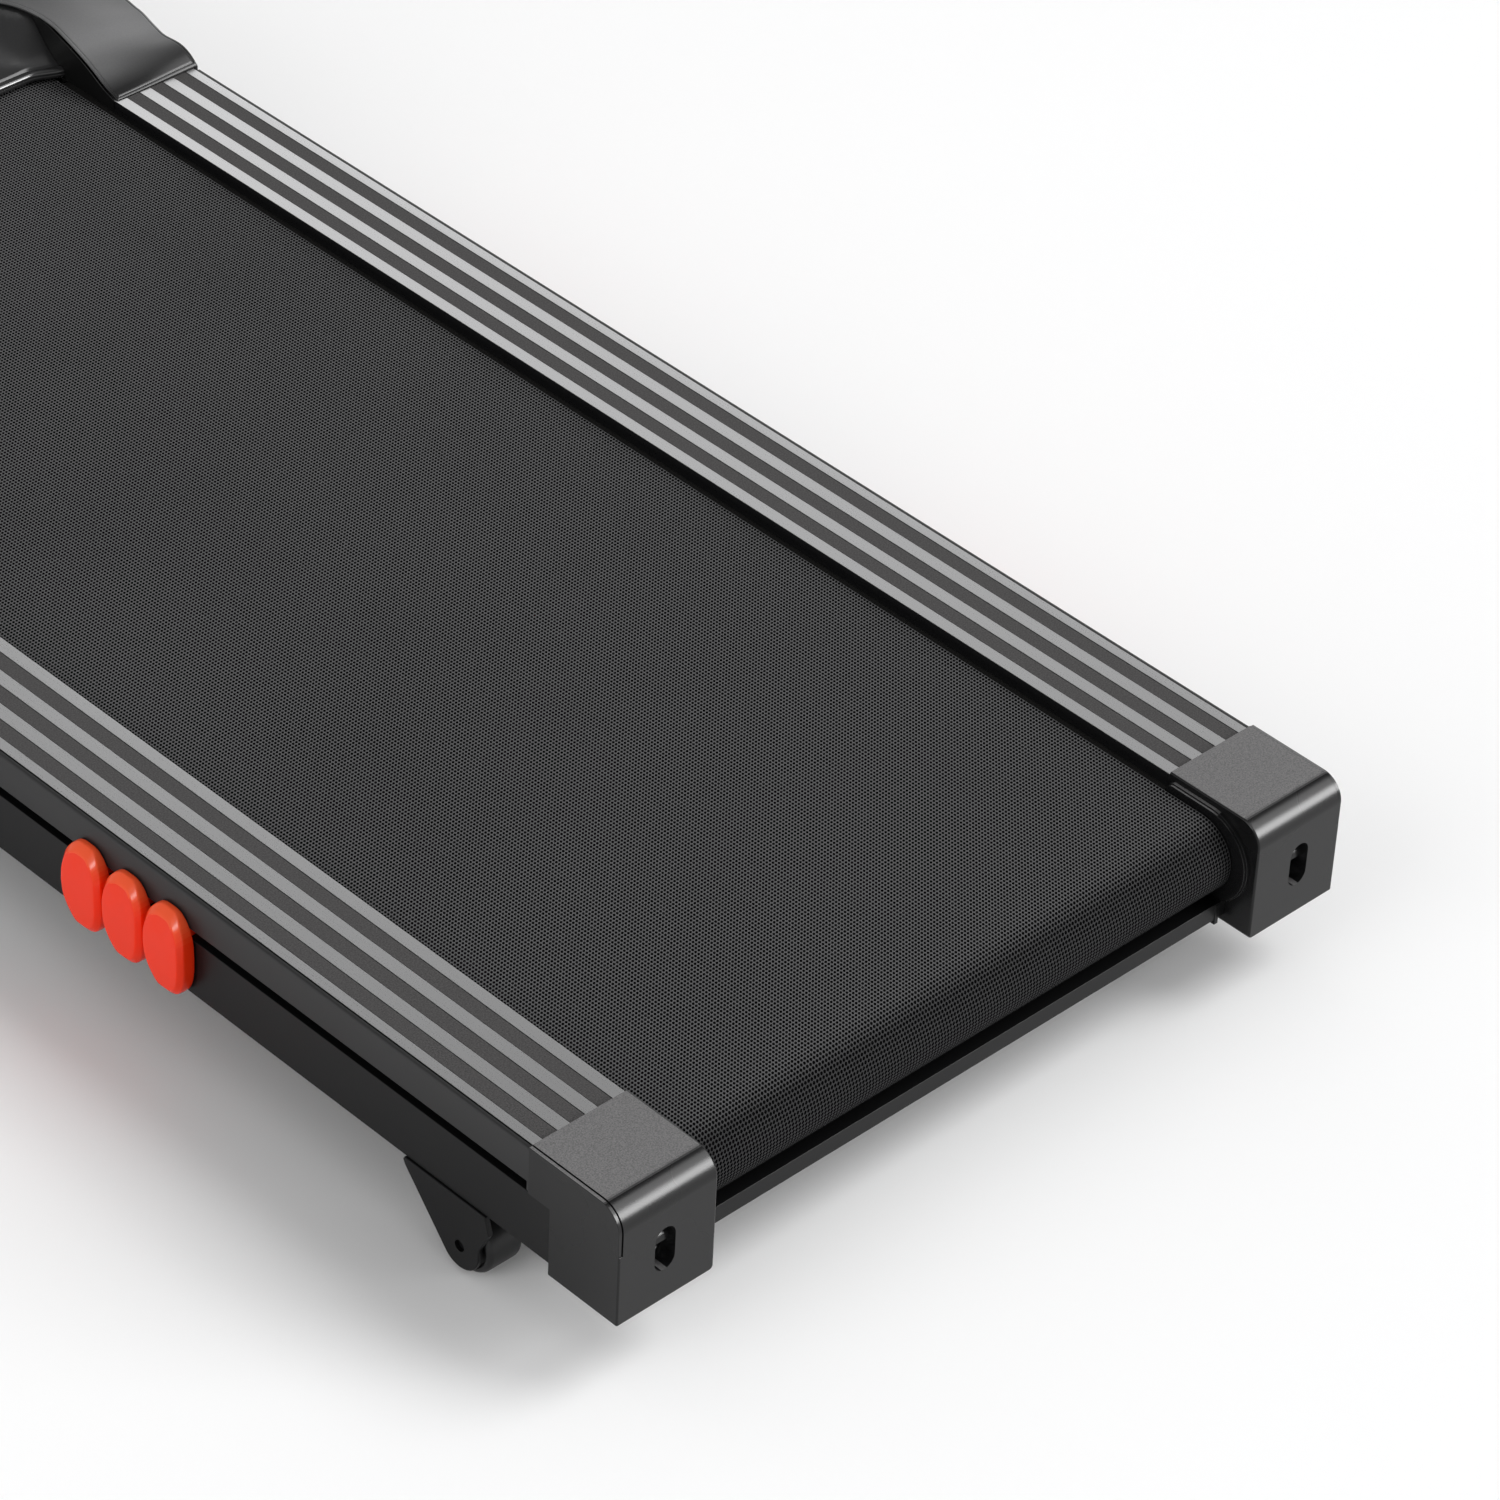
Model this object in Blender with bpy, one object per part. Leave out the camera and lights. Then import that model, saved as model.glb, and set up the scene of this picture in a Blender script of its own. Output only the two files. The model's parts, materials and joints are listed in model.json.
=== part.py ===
"""Folding treadmill with a lift-up running deck, in metres, +Z up, standing on z = 0.

The machine's length runs along Y, with the runner facing +Y, and x = 0 is its middle. Lengths along
the deck are measured from the front edge of the rear end caps. The empty named machine then puts
the middle of the machine's length at the origin.
"""

import math

import bmesh
import bpy
from mathutils import Matrix, Vector

# Clearances
FIT = 0.0003
RUNNING_GAP = 0.0003

# How far a cutter runs past what it cuts, and how far shapes that are joined run into each other
OVER = 0.010
LAP = 0.001

# Widths of the deck, from the middle outwards
BELT_HALF_WIDTH = 0.210
BELT_SIDE_GAP = 0.005
RAIL_WIDTH = 0.067
INNER_LAND = 0.0089
MIDDLE_LAND = 0.0092
GROOVE_WIDTH = 0.0109
GROOVES = 3
SKIRT_GAP = 0.0005
SKIRT_WALL = 0.003

# Heights of the deck
RAIL_TOP = 0.1253
RAIL_HEIGHT = 0.0098
RAIL_PLATE = 0.004
RAIL_LEG = 0.003
GROOVE_DEPTH = 0.0016
GRIP_SINK = 0.0002
BOARD_THICKNESS = 0.0138
SLOT_HEIGHT = 0.0066
TUBE_HEIGHT = 0.040
TUBE_WIDTH = 0.022
TUBE_WALL = 0.002
BELT_THICKNESS = 0.0018
BELT_TURN_RADIUS = 0.0255

# Places along the deck
TUBE_REAR = -0.017
TUBE_FRONT = 1.322
RAIL_REAR = 0.0006
RAIL_FRONT = 0.990
GRIP_TIE_LENGTH = 0.008
BOARD_REAR = 0.002
BOARD_FRONT = 1.022
SKIRT_REAR_FOOT = 0.003
SKIRT_FRONT = 0.9655
REAR_ROLLER_Y = -0.030
FRONT_ROLLER_Y = 1.075

# Rear end caps
CAP_LENGTH = 0.071
CAP_LAP_INNER = 0.0005
CAP_LAP_OUTER = 0.0023
CAP_RISE = 0.0018
CAP_HEIGHT = 0.081
CAP_WALL = 0.0025
CAP_TOP_RADIUS = 0.016
CAP_EDGE_RADIUS = 0.002
CAP_STEP = 0.0003
GUARD_GAP = 0.0006
GUARD_RADIUS = 0.032
GUARD_CENTRE_Y = -0.034
GUARD_DROP = 0.0345
GUARD_TOP_DROP = 0.0025
ACCESS_WIDTH = 0.015
ACCESS_HEIGHT = 0.030
ACCESS_IN = 0.037
ACCESS_DROP = 0.0423
POCKET_DEPTH = 0.018
POCKET_FLOOR = 0.003
POCKET_WALL = 0.002

# Belt adjusting bolts and the fixed rear axle
BOLT_IN = 0.035
BOLT_DROP = 0.051
BOLT_RADIUS = 0.003
BOLT_HEAD_RADIUS = 0.0048
BOLT_HEAD_LENGTH = 0.006
BOLT_SOCKET_RADIUS = 0.0028
BOLT_SOCKET_DEPTH = 0.004
BOLT_LENGTH = 0.042
AXLE_RADIUS = 0.006
AXLE_HOLE_GAP = 0.0005
LUG_IN = 0.028
LUG_REAR = -0.040
LUG_FRONT = 0.004
LUG_DROP_UNDER_TUBE_TOP = 0.0005

# Crossbars of the deck
REAR_BAR_REAR = -0.050
REAR_BAR_FRONT = -0.006
REAR_BAR_TOP = 0.0640
REAR_BAR_HEIGHT = 0.0117
REAR_TAB_IN = 0.0035
REAR_TAB_THICKNESS = 0.003
REAR_TAB_BOTTOM = 0.0490
REAR_TAB_LENGTH = 0.014
MIDDLE_BAR_REAR = 0.720
MIDDLE_BAR_SIZE = 0.030
MOTOR_BAR_REAR = 1.140
MOTOR_BAR_FRONT = 1.250
MOTOR_BAR_TOP = 0.0680
MOTOR_BAR_HEIGHT = 0.006

# Shock pads
PAD_CENTRES = (0.335, 0.800)
PAD_PITCH = 0.0368
PAD_LOBES = 3
PAD_LOBE_WIDTH = 0.0336
PAD_HEIGHT = 0.060
PAD_TOP_DROP = 0.0127
PAD_BACK = 0.004
PAD_BACK_IN = 0.002
PAD_TONGUE_IN = 0.004
PAD_PROUD = 0.012
PAD_SLOPE = 0.005
PAD_TONGUE_LENGTH = 0.0305

# Rear wheels and their brackets
WHEEL_Y = 0.0543
WHEEL_RADIUS = 0.0200
WHEEL_WIDTH = 0.025
WHEEL_HUB_RADIUS = 0.010
WHEEL_HUB_RECESS = 0.003
WHEEL_PIN_RADIUS = 0.0032
WHEEL_PIN_END = 0.002
WHEEL_GAP = 0.0012
BRACKET_PROUD = 0.0013
BRACKET_THICKNESS = 0.0036
BRACKET_FLANGE = 0.003
BRACKET_ROUND = 0.0175
BRACKET_FRONT = 0.102
BRACKET_REAR = 0.048
BRACKET_TOE = 0.002
BRACKET_FRONT_WAIST = (0.0270, 0.022)
BRACKET_REAR_WAIST = (-0.0110, 0.017)
BRACKET_HOLE_DEPTH = 0.0012

# Motor, drive and their cover
ROLLER_SHAFT_RADIUS = 0.006
PULLEY_OUT = 0.015
PULLEY_WIDTH = 0.018
ROLLER_PULLEY_RADIUS = 0.033
MOTOR_Y = 1.195
MOTOR_Z = 0.125
MOTOR_RADIUS = 0.042
MOTOR_LEFT = -0.060
MOTOR_RIGHT = 0.180
MOTOR_FOOT_HALF = 0.030
MOTOR_FOOT_IN = 0.020
MOTOR_PULLEY_RADIUS = 0.011
MOTOR_SHAFT_RADIUS = 0.006
DRIVE_BELT_THICKNESS = 0.0025
DRIVE_BELT_MARGIN = 0.002
CONTROL_BOX_X = -0.160
CONTROL_BOX_SIZE = (0.130, 0.100, 0.075)
HOOD_WALL = 0.003
HOOD_PANEL_IN = 0.010
HOOD_FOOT_IN = 0.0025
HOOD_SWELL_HALF = 0.070
HOOD_LIP_Y = 1.030
HOOD_FRONT = 1.3255
HOOD_SWELL_REAR = 1.085
HOOD_SKIRT_BOTTOM = 0.0978
PAN_REAR = 1.035
PAN_THICKNESS = 0.003
PAN_VENTS = 7
PAN_VENT_SIZE = (0.060, 0.006)
SWITCH_X = -0.200
SWITCH_Z = 0.105
SWITCH_SIZE = (0.014, 0.012, 0.022)

# Deck hinge and gas strut, as (y, z)
HINGE_Y = 1.270
FOLD_ANGLE = 80
PIVOT_RADIUS = 0.008
PIVOT_HEAD_RADIUS = 0.013
PIVOT_HEAD = 0.005
STRUT_BASE = (1.196, 0.030)
STRUT_DECK = (0.780, 0.040)
STRUT_RADIUS = 0.0100
STRUT_BORE = 0.0078
STRUT_GLAND = 0.010
STRUT_BORE_START = 0.030
STRUT_PISTON = 0.012
STRUT_TUBE_LENGTH = 0.340
STRUT_ROD_RADIUS = 0.004
STRUT_ROD_INSIDE = 0.150
STRUT_PIN_RADIUS = 0.004
STRUT_EYE_RADIUS = 0.009
STRUT_EYE_HALF = 0.0105
STRUT_EAR = 0.004
STRUT_EAR_GAP = 0.0005
DECK_EAR_REACH = 0.012
BASE_EAR_REACH = 0.010

# Base
BASE_SIDE_GAP = 0.0145
BASE_SIZE = 0.040
BASE_BOTTOM = 0.010
BASE_REAR = 0.780
BASE_FRONT = 1.462
FORK_REAR = 1.410
FRONT_BAR_REAR = 1.382
FRONT_BAR_DEPTH = 0.026
STRUT_TO_BASE_BAR = 0.0215
REAR_BASE_BAR_DEPTH = 0.028
REAR_BASE_BAR_HEIGHT = 0.030
FOOT_LENGTH = 0.060
FOOT_MARGIN = 0.002
FOOT_END = 0.009
FRONT_FOOT_Y = 1.345
EAR_THICKNESS = 0.006
EAR_REAR = 1.232
EAR_FRONT = 1.300
EAR_TOP = 0.120
TRANSPORT_WHEEL = (1.446, 0.031)
TRANSPORT_RADIUS = 0.030
TRANSPORT_PIN = 0.004
TRANSPORT_HUB = (0.012, 0.004)

# Uprights and handrails, as (y, z)
UPRIGHT_FOOT_Y = 1.352
UPRIGHT_TOP_Y = 1.240
UPRIGHT_TOP_Z = 1.165
UPRIGHT_DEPTH = 0.050
HANDRAIL_FRONT = (1.290, 0.935)
HANDRAIL_REAR = (0.945, 0.900)
HANDRAIL_SIZE = 0.030
HANDRAIL_SOLID = 0.045
GRIP_LENGTH = 0.135
GRIP_WALL = 0.005

# Console, its outline as (y, z) from the lower rear corner round
CONSOLE_FACE_LOW = (1.168, 1.095)
CONSOLE_FACE_HIGH = (1.222, 1.245)
CONSOLE_BACK_HIGH = (1.268, 1.240)
CONSOLE_BACK_LOW = (1.288, 1.095)
CONSOLE_WALL = 0.003
DISPLAY_SIZE = (0.200, 0.058)
DISPLAY_UP = 0.105
DISPLAY_RECESS = 0.0015
DISPLAY_THICKNESS = 0.0022
BUTTON_UP = 0.040
BUTTON_GAP = 0.0004
BUTTON_FLANGE = 0.002
BUTTON_EDGE = 0.0008
BUTTONS = (
    ("start_button", -0.070, 0.012),
    ("stop_button", -0.025, 0.012),
    ("speed_down_button", 0.020, 0.009),
    ("speed_up_button", 0.050, 0.009),
)
BUTTON_PROUD = 0.003
BUTTON_INSIDE = 0.006
KEY_X = 0.110
KEY_SIZE = (0.030, 0.010)
KEY_PROUD = 0.014
KEY_INSIDE = 0.012
KEY_LEDGE = 0.003

# Fold lock
LOCK_FROM_HINGE = (-0.020, 0.030)
LOCK_PIN_RADIUS = 0.004
LOCK_PIN_GAP = 0.0025
LOCK_HOLE_GAP = 0.001
LOCK_KNOB_RADIUS = 0.014
LOCK_KNOB_LENGTH = 0.030

# Sizes worked out from the ones above
RAIL_INNER = BELT_HALF_WIDTH + BELT_SIDE_GAP
RAIL_OUTER = RAIL_INNER + RAIL_WIDTH
SIDE_FACE = RAIL_OUTER + SKIRT_GAP + SKIRT_WALL
TUBE_INNER = SIDE_FACE - TUBE_WIDTH
CAP_INNER = RAIL_INNER - CAP_LAP_INNER
CAP_OUTER = RAIL_OUTER + CAP_LAP_OUTER
GUARD_INNER = BELT_HALF_WIDTH + GUARD_GAP
ACCESS_X = RAIL_INNER + ACCESS_IN
BOLT_X = RAIL_INNER + BOLT_IN
LUG_INNER = RAIL_INNER + LUG_IN
REAR_TAB_X = BELT_HALF_WIDTH - REAR_TAB_IN
PAD_TONGUE_INNER = SIDE_FACE - PAD_TONGUE_LENGTH
BRACKET_OUTER = SIDE_FACE + BRACKET_PROUD
PULLEY_INNER = BELT_HALF_WIDTH + PULLEY_OUT
HOOD_PANEL_HALF = RAIL_INNER - HOOD_PANEL_IN
HOOD_INNER_FOOT = RAIL_INNER - HOOD_FOOT_IN
BASE_INNER = SIDE_FACE + BASE_SIDE_GAP
LOCK_PIN_TIP = SIDE_FACE + LOCK_PIN_GAP
REAR_BASE_BAR_REAR = STRUT_BASE[0] + STRUT_TO_BASE_BAR
RAIL_BOTTOM = RAIL_TOP - RAIL_HEIGHT
BOARD_TOP = RAIL_BOTTOM - FIT
BOARD_BOTTOM = BOARD_TOP - BOARD_THICKNESS
SKIRT_BOTTOM = BOARD_BOTTOM - FIT
TUBE_TOP = SKIRT_BOTTOM - SLOT_HEIGHT
TUBE_BOTTOM = TUBE_TOP - TUBE_HEIGHT
HINGE_Z = TUBE_BOTTOM + TUBE_HEIGHT / 2
BELT_TOP = BOARD_TOP + FIT + BELT_THICKNESS
ROLLER_Z = BELT_TOP - BELT_TURN_RADIUS
ROLLER_RADIUS = BELT_TURN_RADIUS - BELT_THICKNESS - FIT
ROLLER_HALF = BELT_HALF_WIDTH - 0.003
BOLT_Z = RAIL_TOP - BOLT_DROP
CAP_TOP = RAIL_TOP + CAP_RISE
CAP_BOTTOM = CAP_TOP - CAP_HEIGHT
BASE_OUTER = BASE_INNER + BASE_SIZE
BASE_TOP = BASE_BOTTOM + BASE_SIZE
PULLEY_X = (PULLEY_INNER, PULLEY_INNER + PULLEY_WIDTH)
LOCK_Y = HINGE_Y + LOCK_FROM_HINGE[0]
LOCK_Z = HINGE_Z + LOCK_FROM_HINGE[1]
MACHINE_REAR = -CAP_LENGTH
MACHINE_FRONT = TRANSPORT_WHEEL[0] + TRANSPORT_RADIUS
MIDDLE_Y = (MACHINE_REAR + MACHINE_FRONT) / 2
SIDES = (("left", -1), ("right", 1))

# Smoothness of round shapes
ROUND_STEPS = 24
SMALL_STEPS = 12
ARC_STEPS = 12
SMOOTH_ANGLE = math.radians(35)


def clear_scene():
    """Take every object out of the scene."""
    for item in list(bpy.data.objects):
        bpy.data.objects.remove(item, do_unlink=True)


def material(name, colour, roughness, metallic=0.0):
    """A Principled BSDF material."""
    made = bpy.data.materials.new(name)
    made.use_nodes = True
    shader = made.node_tree.nodes["Principled BSDF"]
    shader.inputs["Base Color"].default_value = (*colour, 1.0)
    shader.inputs["Roughness"].default_value = roughness
    shader.inputs["Metallic"].default_value = metallic
    return made


def make_materials():
    """The machine's materials, by name."""
    return {
        "frame_paint": material("frame_paint", (0.035, 0.035, 0.037), 0.42, 0.2),
        "satin_aluminium": material("satin_aluminium", (0.62, 0.63, 0.64), 0.35, 1.0),
        "bright_steel": material("bright_steel", (0.55, 0.55, 0.56), 0.3, 1.0),
        "grey_plastic": material("grey_plastic", (0.16, 0.16, 0.165), 0.5),
        "gloss_grey": material("gloss_grey", (0.07, 0.07, 0.073), 0.18),
        "dark_plastic": material("dark_plastic", (0.03, 0.03, 0.032), 0.45),
        "grip_rubber": material("grip_rubber", (0.05, 0.05, 0.052), 0.85),
        "belt_weave": material("belt_weave", (0.022, 0.022, 0.024), 0.75),
        "orange_pad": material("orange_pad", (0.85, 0.09, 0.03), 0.4),
        "board_wood": material("board_wood", (0.23, 0.15, 0.09), 0.6),
        "foam": material("foam", (0.02, 0.02, 0.02), 0.9),
        "display_glass": material("display_glass", (0.01, 0.012, 0.016), 0.08),
        "start_green": material("start_green", (0.05, 0.42, 0.12), 0.4),
        "stop_red": material("stop_red", (0.62, 0.03, 0.02), 0.4),
        "button_white": material("button_white", (0.75, 0.75, 0.75), 0.4),
    }


def point(axis, along, a, b):
    """A 3-D point from its place along an axis and its two other coordinates in X, Y, Z order."""
    if axis == "x":
        return Vector((along, a, b))
    if axis == "y":
        return Vector((a, along, b))
    return Vector((a, b, along))


def closed(bm):
    """Turn every face of a closed body outwards and return the body."""
    bmesh.ops.recalc_face_normals(bm, faces=bm.faces)
    return bm


def prism(outline, axis, start, end):
    """An outline in the plane across an axis, extruded between two places along it."""
    bm = bmesh.new()
    ends = []
    for along in (start, end):
        ends.append([bm.verts.new(point(axis, along, a, b)) for a, b in outline])
    bm.faces.new(ends[0])
    bm.faces.new(ends[1])
    count = len(outline)
    for i in range(count):
        j = (i + 1) % count
        bm.faces.new((ends[0][i], ends[0][j], ends[1][j], ends[1][i]))
    return closed(bm)


def box(x, y, z):
    """A block between two x, two y and two z values."""
    return prism(((x[0], z[0]), (x[1], z[0]), (x[1], z[1]), (x[0], z[1])), "y", *y)


def ring_prism(outer, inner, axis, start, end):
    """Two outlines with as many points each, extruded into a hollow section."""
    bm = bmesh.new()
    loops = []
    for outline in (outer, inner):
        for along in (start, end):
            loops.append([bm.verts.new(point(axis, along, a, b)) for a, b in outline])
    outer_start, outer_end, inner_start, inner_end = loops
    turns = (outer_start, outer_end, inner_end, inner_start, outer_start)
    count = len(outer)
    for first, second in zip(turns, turns[1:]):
        for i in range(count):
            j = (i + 1) % count
            bm.faces.new((first[i], first[j], second[j], second[i]))
    return closed(bm)


def rectangle(a, b):
    """The corners of a rectangle between two values each way."""
    return ((a[0], b[0]), (a[1], b[0]), (a[1], b[1]), (a[0], b[1]))


def square_tube(axis, start, end, a, b, wall):
    """A rectangular tube along an axis, open at both ends."""
    inner_a = (a[0] + wall, a[1] - wall)
    inner_b = (b[0] + wall, b[1] - wall)
    return ring_prism(rectangle(a, b), rectangle(inner_a, inner_b), axis, start, end)


def turned(profile, axis="z", centre=(0.0, 0.0), steps=ROUND_STEPS):
    """A closed profile of (radius, along) points turned about an axis through a centre."""
    bm = bmesh.new()
    rings = []
    for radius, along in profile:
        if radius == 0:
            rings.append([bm.verts.new(point(axis, along, *centre))] * steps)
            continue
        ring = []
        for i in range(steps):
            angle = 2 * math.pi * i / steps
            a = centre[0] + radius * math.cos(angle)
            b = centre[1] + radius * math.sin(angle)
            ring.append(bm.verts.new(point(axis, along, a, b)))
        rings.append(ring)
    for k in range(len(rings)):
        first = rings[k]
        second = rings[(k + 1) % len(rings)]
        for i in range(steps):
            j = (i + 1) % steps
            corners = list(dict.fromkeys((first[i], first[j], second[j], second[i])))
            if len(corners) > 2:
                bm.faces.new(corners)
    return closed(bm)


def rod(axis, centre, radius, start, end, steps=ROUND_STEPS):
    """A plain cylinder."""
    circle = arc(centre, radius, 0, 360 * (steps - 1) / steps, steps - 1)
    return prism(circle, axis, start, end)


def arc(centre, radius, start, end, steps):
    """Points on an arc, its angles in degrees."""
    points = []
    for i in range(steps + 1):
        angle = math.radians(start + (end - start) * i / steps)
        points.append((centre[0] + radius * math.cos(angle), centre[1] + radius * math.sin(angle)))
    return points


def bar_outline(start, end, height):
    """The outline of a straight bar of a given height between two points."""
    along = (Vector(end) - Vector(start)).normalized()
    across = Vector((-along[1], along[0])) * height / 2
    return [tuple(Vector(p) + side * across) for p, side in ((start, 1), (end, 1), (end, -1), (start, -1))]


def span(side, inner, outer):
    """The x values of a piece on one side of the machine, low one first."""
    return tuple(sorted((side * inner, side * outer)))


def round_edges(bm, radius, segments, chosen):
    """Round the edges that a test picks by their two ends."""
    edges = [edge for edge in bm.edges if chosen(edge.verts[0].co, edge.verts[1].co)]
    bmesh.ops.bevel(bm, geom=edges, offset=radius, segments=segments, profile=0.5, affect="EDGES")
    return closed(bm)


def add(name, shape, look, origin=(0.0, 0.0, 0.0), tilt=0.0):
    """Make an object of a shape whose points are measured from the origin given."""
    mesh = bpy.data.meshes.new(name)
    shape.to_mesh(mesh)
    shape.free()
    mesh.materials.append(look)
    mesh.shade_smooth()
    mesh.set_sharp_from_angle(angle=SMOOTH_ANGLE)
    item = bpy.data.objects.new(name, mesh)
    item.location = origin
    item.rotation_euler = (tilt, 0.0, 0.0)
    item.parent = MACHINE
    bpy.context.scene.collection.objects.link(item)
    return item


def combine(item, shape, operation):
    """Cut a shape from an object, or join it on, both measured from the object's origin."""
    tool = add(f"{item.name}_{operation.lower()}_{len(item.modifiers)}", shape, item.data.materials[0])
    tool.location = item.location
    tool.rotation_euler = item.rotation_euler
    tool.hide_render = True
    tool.display_type = "WIRE"
    change = item.modifiers.new(tool.name, "BOOLEAN")
    change.operation = operation
    change.solver = "EXACT"
    change.object = tool


def cut(item, shape):
    """Cut a shape out of an object."""
    combine(item, shape, "DIFFERENCE")


def join(item, shape):
    """Join a shape to an object."""
    combine(item, shape, "UNION")


def make_deck_frame(looks):
    """The two side tubes and the crossbars between them."""
    paint = looks["frame_paint"]
    for name, side in SIDES:
        x = span(side, TUBE_INNER, SIDE_FACE)
        tube = square_tube("y", TUBE_REAR, TUBE_FRONT, x, (TUBE_BOTTOM, TUBE_TOP), TUBE_WALL)
        item = add(f"deck_tube_{name}", tube, paint)
        through = span(side, TUBE_INNER - OVER, SIDE_FACE + OVER)
        cut(item, rod("x", (HINGE_Y, HINGE_Z), PIVOT_RADIUS + RUNNING_GAP, *through))
        if name == "right":
            angle = math.radians(FOLD_ANGLE)
            y, z = LOCK_FROM_HINGE
            hole_y = HINGE_Y + y * math.cos(angle) - z * math.sin(angle)
            hole_z = HINGE_Z + y * math.sin(angle) + z * math.cos(angle)
            outer_wall = (SIDE_FACE - TUBE_WIDTH / 2, SIDE_FACE + OVER)
            cut(item, rod("x", (hole_y, hole_z), LOCK_PIN_RADIUS + LOCK_HOLE_GAP, *outer_wall))

    inside = (-(TUBE_INNER - FIT), TUBE_INNER - FIT)
    z = (REAR_BAR_TOP - REAR_BAR_HEIGHT, REAR_BAR_TOP)
    bar = add("rear_crossbar", box(inside, (REAR_BAR_REAR, REAR_BAR_FRONT), z), paint)
    for name, side in SIDES:
        tab_x = span(side, REAR_TAB_X, REAR_TAB_X + REAR_TAB_THICKNESS)
        tab_y = (REAR_BAR_REAR - 0.0005, REAR_BAR_REAR + REAR_TAB_LENGTH)
        join(bar, box(tab_x, tab_y, (REAR_TAB_BOTTOM, REAR_BAR_TOP - LAP)))

    under_tubes = (TUBE_BOTTOM - FIT - MIDDLE_BAR_SIZE, TUBE_BOTTOM - FIT)
    middle_front = MIDDLE_BAR_REAR + MIDDLE_BAR_SIZE
    tube = square_tube("x", -SIDE_FACE, SIDE_FACE, (MIDDLE_BAR_REAR, middle_front), under_tubes, TUBE_WALL)
    bar = add("middle_crossbar", tube, paint)
    for side in (-1, 1):
        inner = STRUT_EYE_HALF + STRUT_EAR_GAP
        x = span(side, inner, inner + STRUT_EAR)
        y = (middle_front - LAP, STRUT_DECK[0] + DECK_EAR_REACH)
        join(bar, box(x, y, (STRUT_DECK[1] - DECK_EAR_REACH, STRUT_DECK[1] + DECK_EAR_REACH)))

    z = (MOTOR_BAR_TOP - MOTOR_BAR_HEIGHT, MOTOR_BAR_TOP)
    add("motor_crossbar", box(inside, (MOTOR_BAR_REAR, MOTOR_BAR_FRONT), z), paint)


def make_board_and_belt(looks):
    """The board that the belt slides on, and the belt round both rollers."""
    half = RAIL_OUTER + SKIRT_GAP - FIT
    add("running_board", box((-half, half), (BOARD_REAR, BOARD_FRONT), (BOARD_BOTTOM, BOARD_TOP)),
        looks["board_wood"])

    loops = []
    for radius in (BELT_TURN_RADIUS, BELT_TURN_RADIUS - BELT_THICKNESS):
        rear = arc((REAR_ROLLER_Y, ROLLER_Z), radius, 90, 270, ARC_STEPS)
        front = arc((FRONT_ROLLER_Y, ROLLER_Z), radius, -90, 90, ARC_STEPS)
        loops.append(rear + front)
    belt = ring_prism(loops[0], loops[1], "x", -BELT_HALF_WIDTH, BELT_HALF_WIDTH)
    add("running_belt", belt, looks["belt_weave"])


def make_rollers(looks):
    """The rear roller on its fixed axle, the driven front roller and the belt adjusting bolts."""
    steel = looks["bright_steel"]
    bore = AXLE_RADIUS + RUNNING_GAP
    profile = [(radius, -ROLLER_HALF) for radius in (bore, ROLLER_RADIUS)]
    profile += [(radius, ROLLER_HALF) for radius in (ROLLER_RADIUS, bore)]
    add("rear_roller", turned(profile, "x"), steel, (0, REAR_ROLLER_Y, ROLLER_Z))

    lug_outer = TUBE_INNER - FIT
    axle = add("rear_roller_axle", rod("x", (REAR_ROLLER_Y, ROLLER_Z), AXLE_RADIUS, -BOLT_X, BOLT_X), steel)
    for name, side in SIDES:
        lug_z = (REAR_BAR_TOP + FIT, TUBE_TOP - LUG_DROP_UNDER_TUBE_TOP)
        join(axle, box(span(side, LUG_INNER, lug_outer), (LUG_REAR, LUG_FRONT), lug_z))
    for name, side in SIDES:
        through = (LUG_REAR - OVER, LUG_FRONT + OVER)
        cut(axle, rod("y", (side * BOLT_X, BOLT_Z), BOLT_RADIUS + FIT, *through, SMALL_STEPS))

    seat = -CAP_LENGTH + POCKET_DEPTH - FIT
    for name, side in SIDES:
        head = seat - BOLT_HEAD_LENGTH
        bottom = head + BOLT_SOCKET_DEPTH
        profile = (
            (0, bottom),
            (BOLT_SOCKET_RADIUS, bottom),
            (BOLT_SOCKET_RADIUS, head),
            (BOLT_HEAD_RADIUS, head),
            (BOLT_HEAD_RADIUS, seat),
            (BOLT_RADIUS, seat),
            (BOLT_RADIUS, seat + BOLT_LENGTH),
            (0, seat + BOLT_LENGTH),
        )
        centre = (side * BOLT_X, BOLT_Z)
        add(f"belt_adjust_bolt_{name}", turned(profile, "y", centre, SMALL_STEPS), steel)

    end = TUBE_INNER - FIT
    profile = (
        (0, -end),
        (ROLLER_SHAFT_RADIUS, -end),
        (ROLLER_SHAFT_RADIUS, -ROLLER_HALF),
        (ROLLER_RADIUS, -ROLLER_HALF),
        (ROLLER_RADIUS, ROLLER_HALF),
        (ROLLER_SHAFT_RADIUS, ROLLER_HALF),
        (ROLLER_SHAFT_RADIUS, PULLEY_X[0]),
        (ROLLER_PULLEY_RADIUS, PULLEY_X[0]),
        (ROLLER_PULLEY_RADIUS, PULLEY_X[1]),
        (ROLLER_SHAFT_RADIUS, PULLEY_X[1]),
        (ROLLER_SHAFT_RADIUS, end),
        (0, end),
    )
    add("front_roller", turned(profile, "x"), steel, (0, FRONT_ROLLER_Y, ROLLER_Z))


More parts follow.
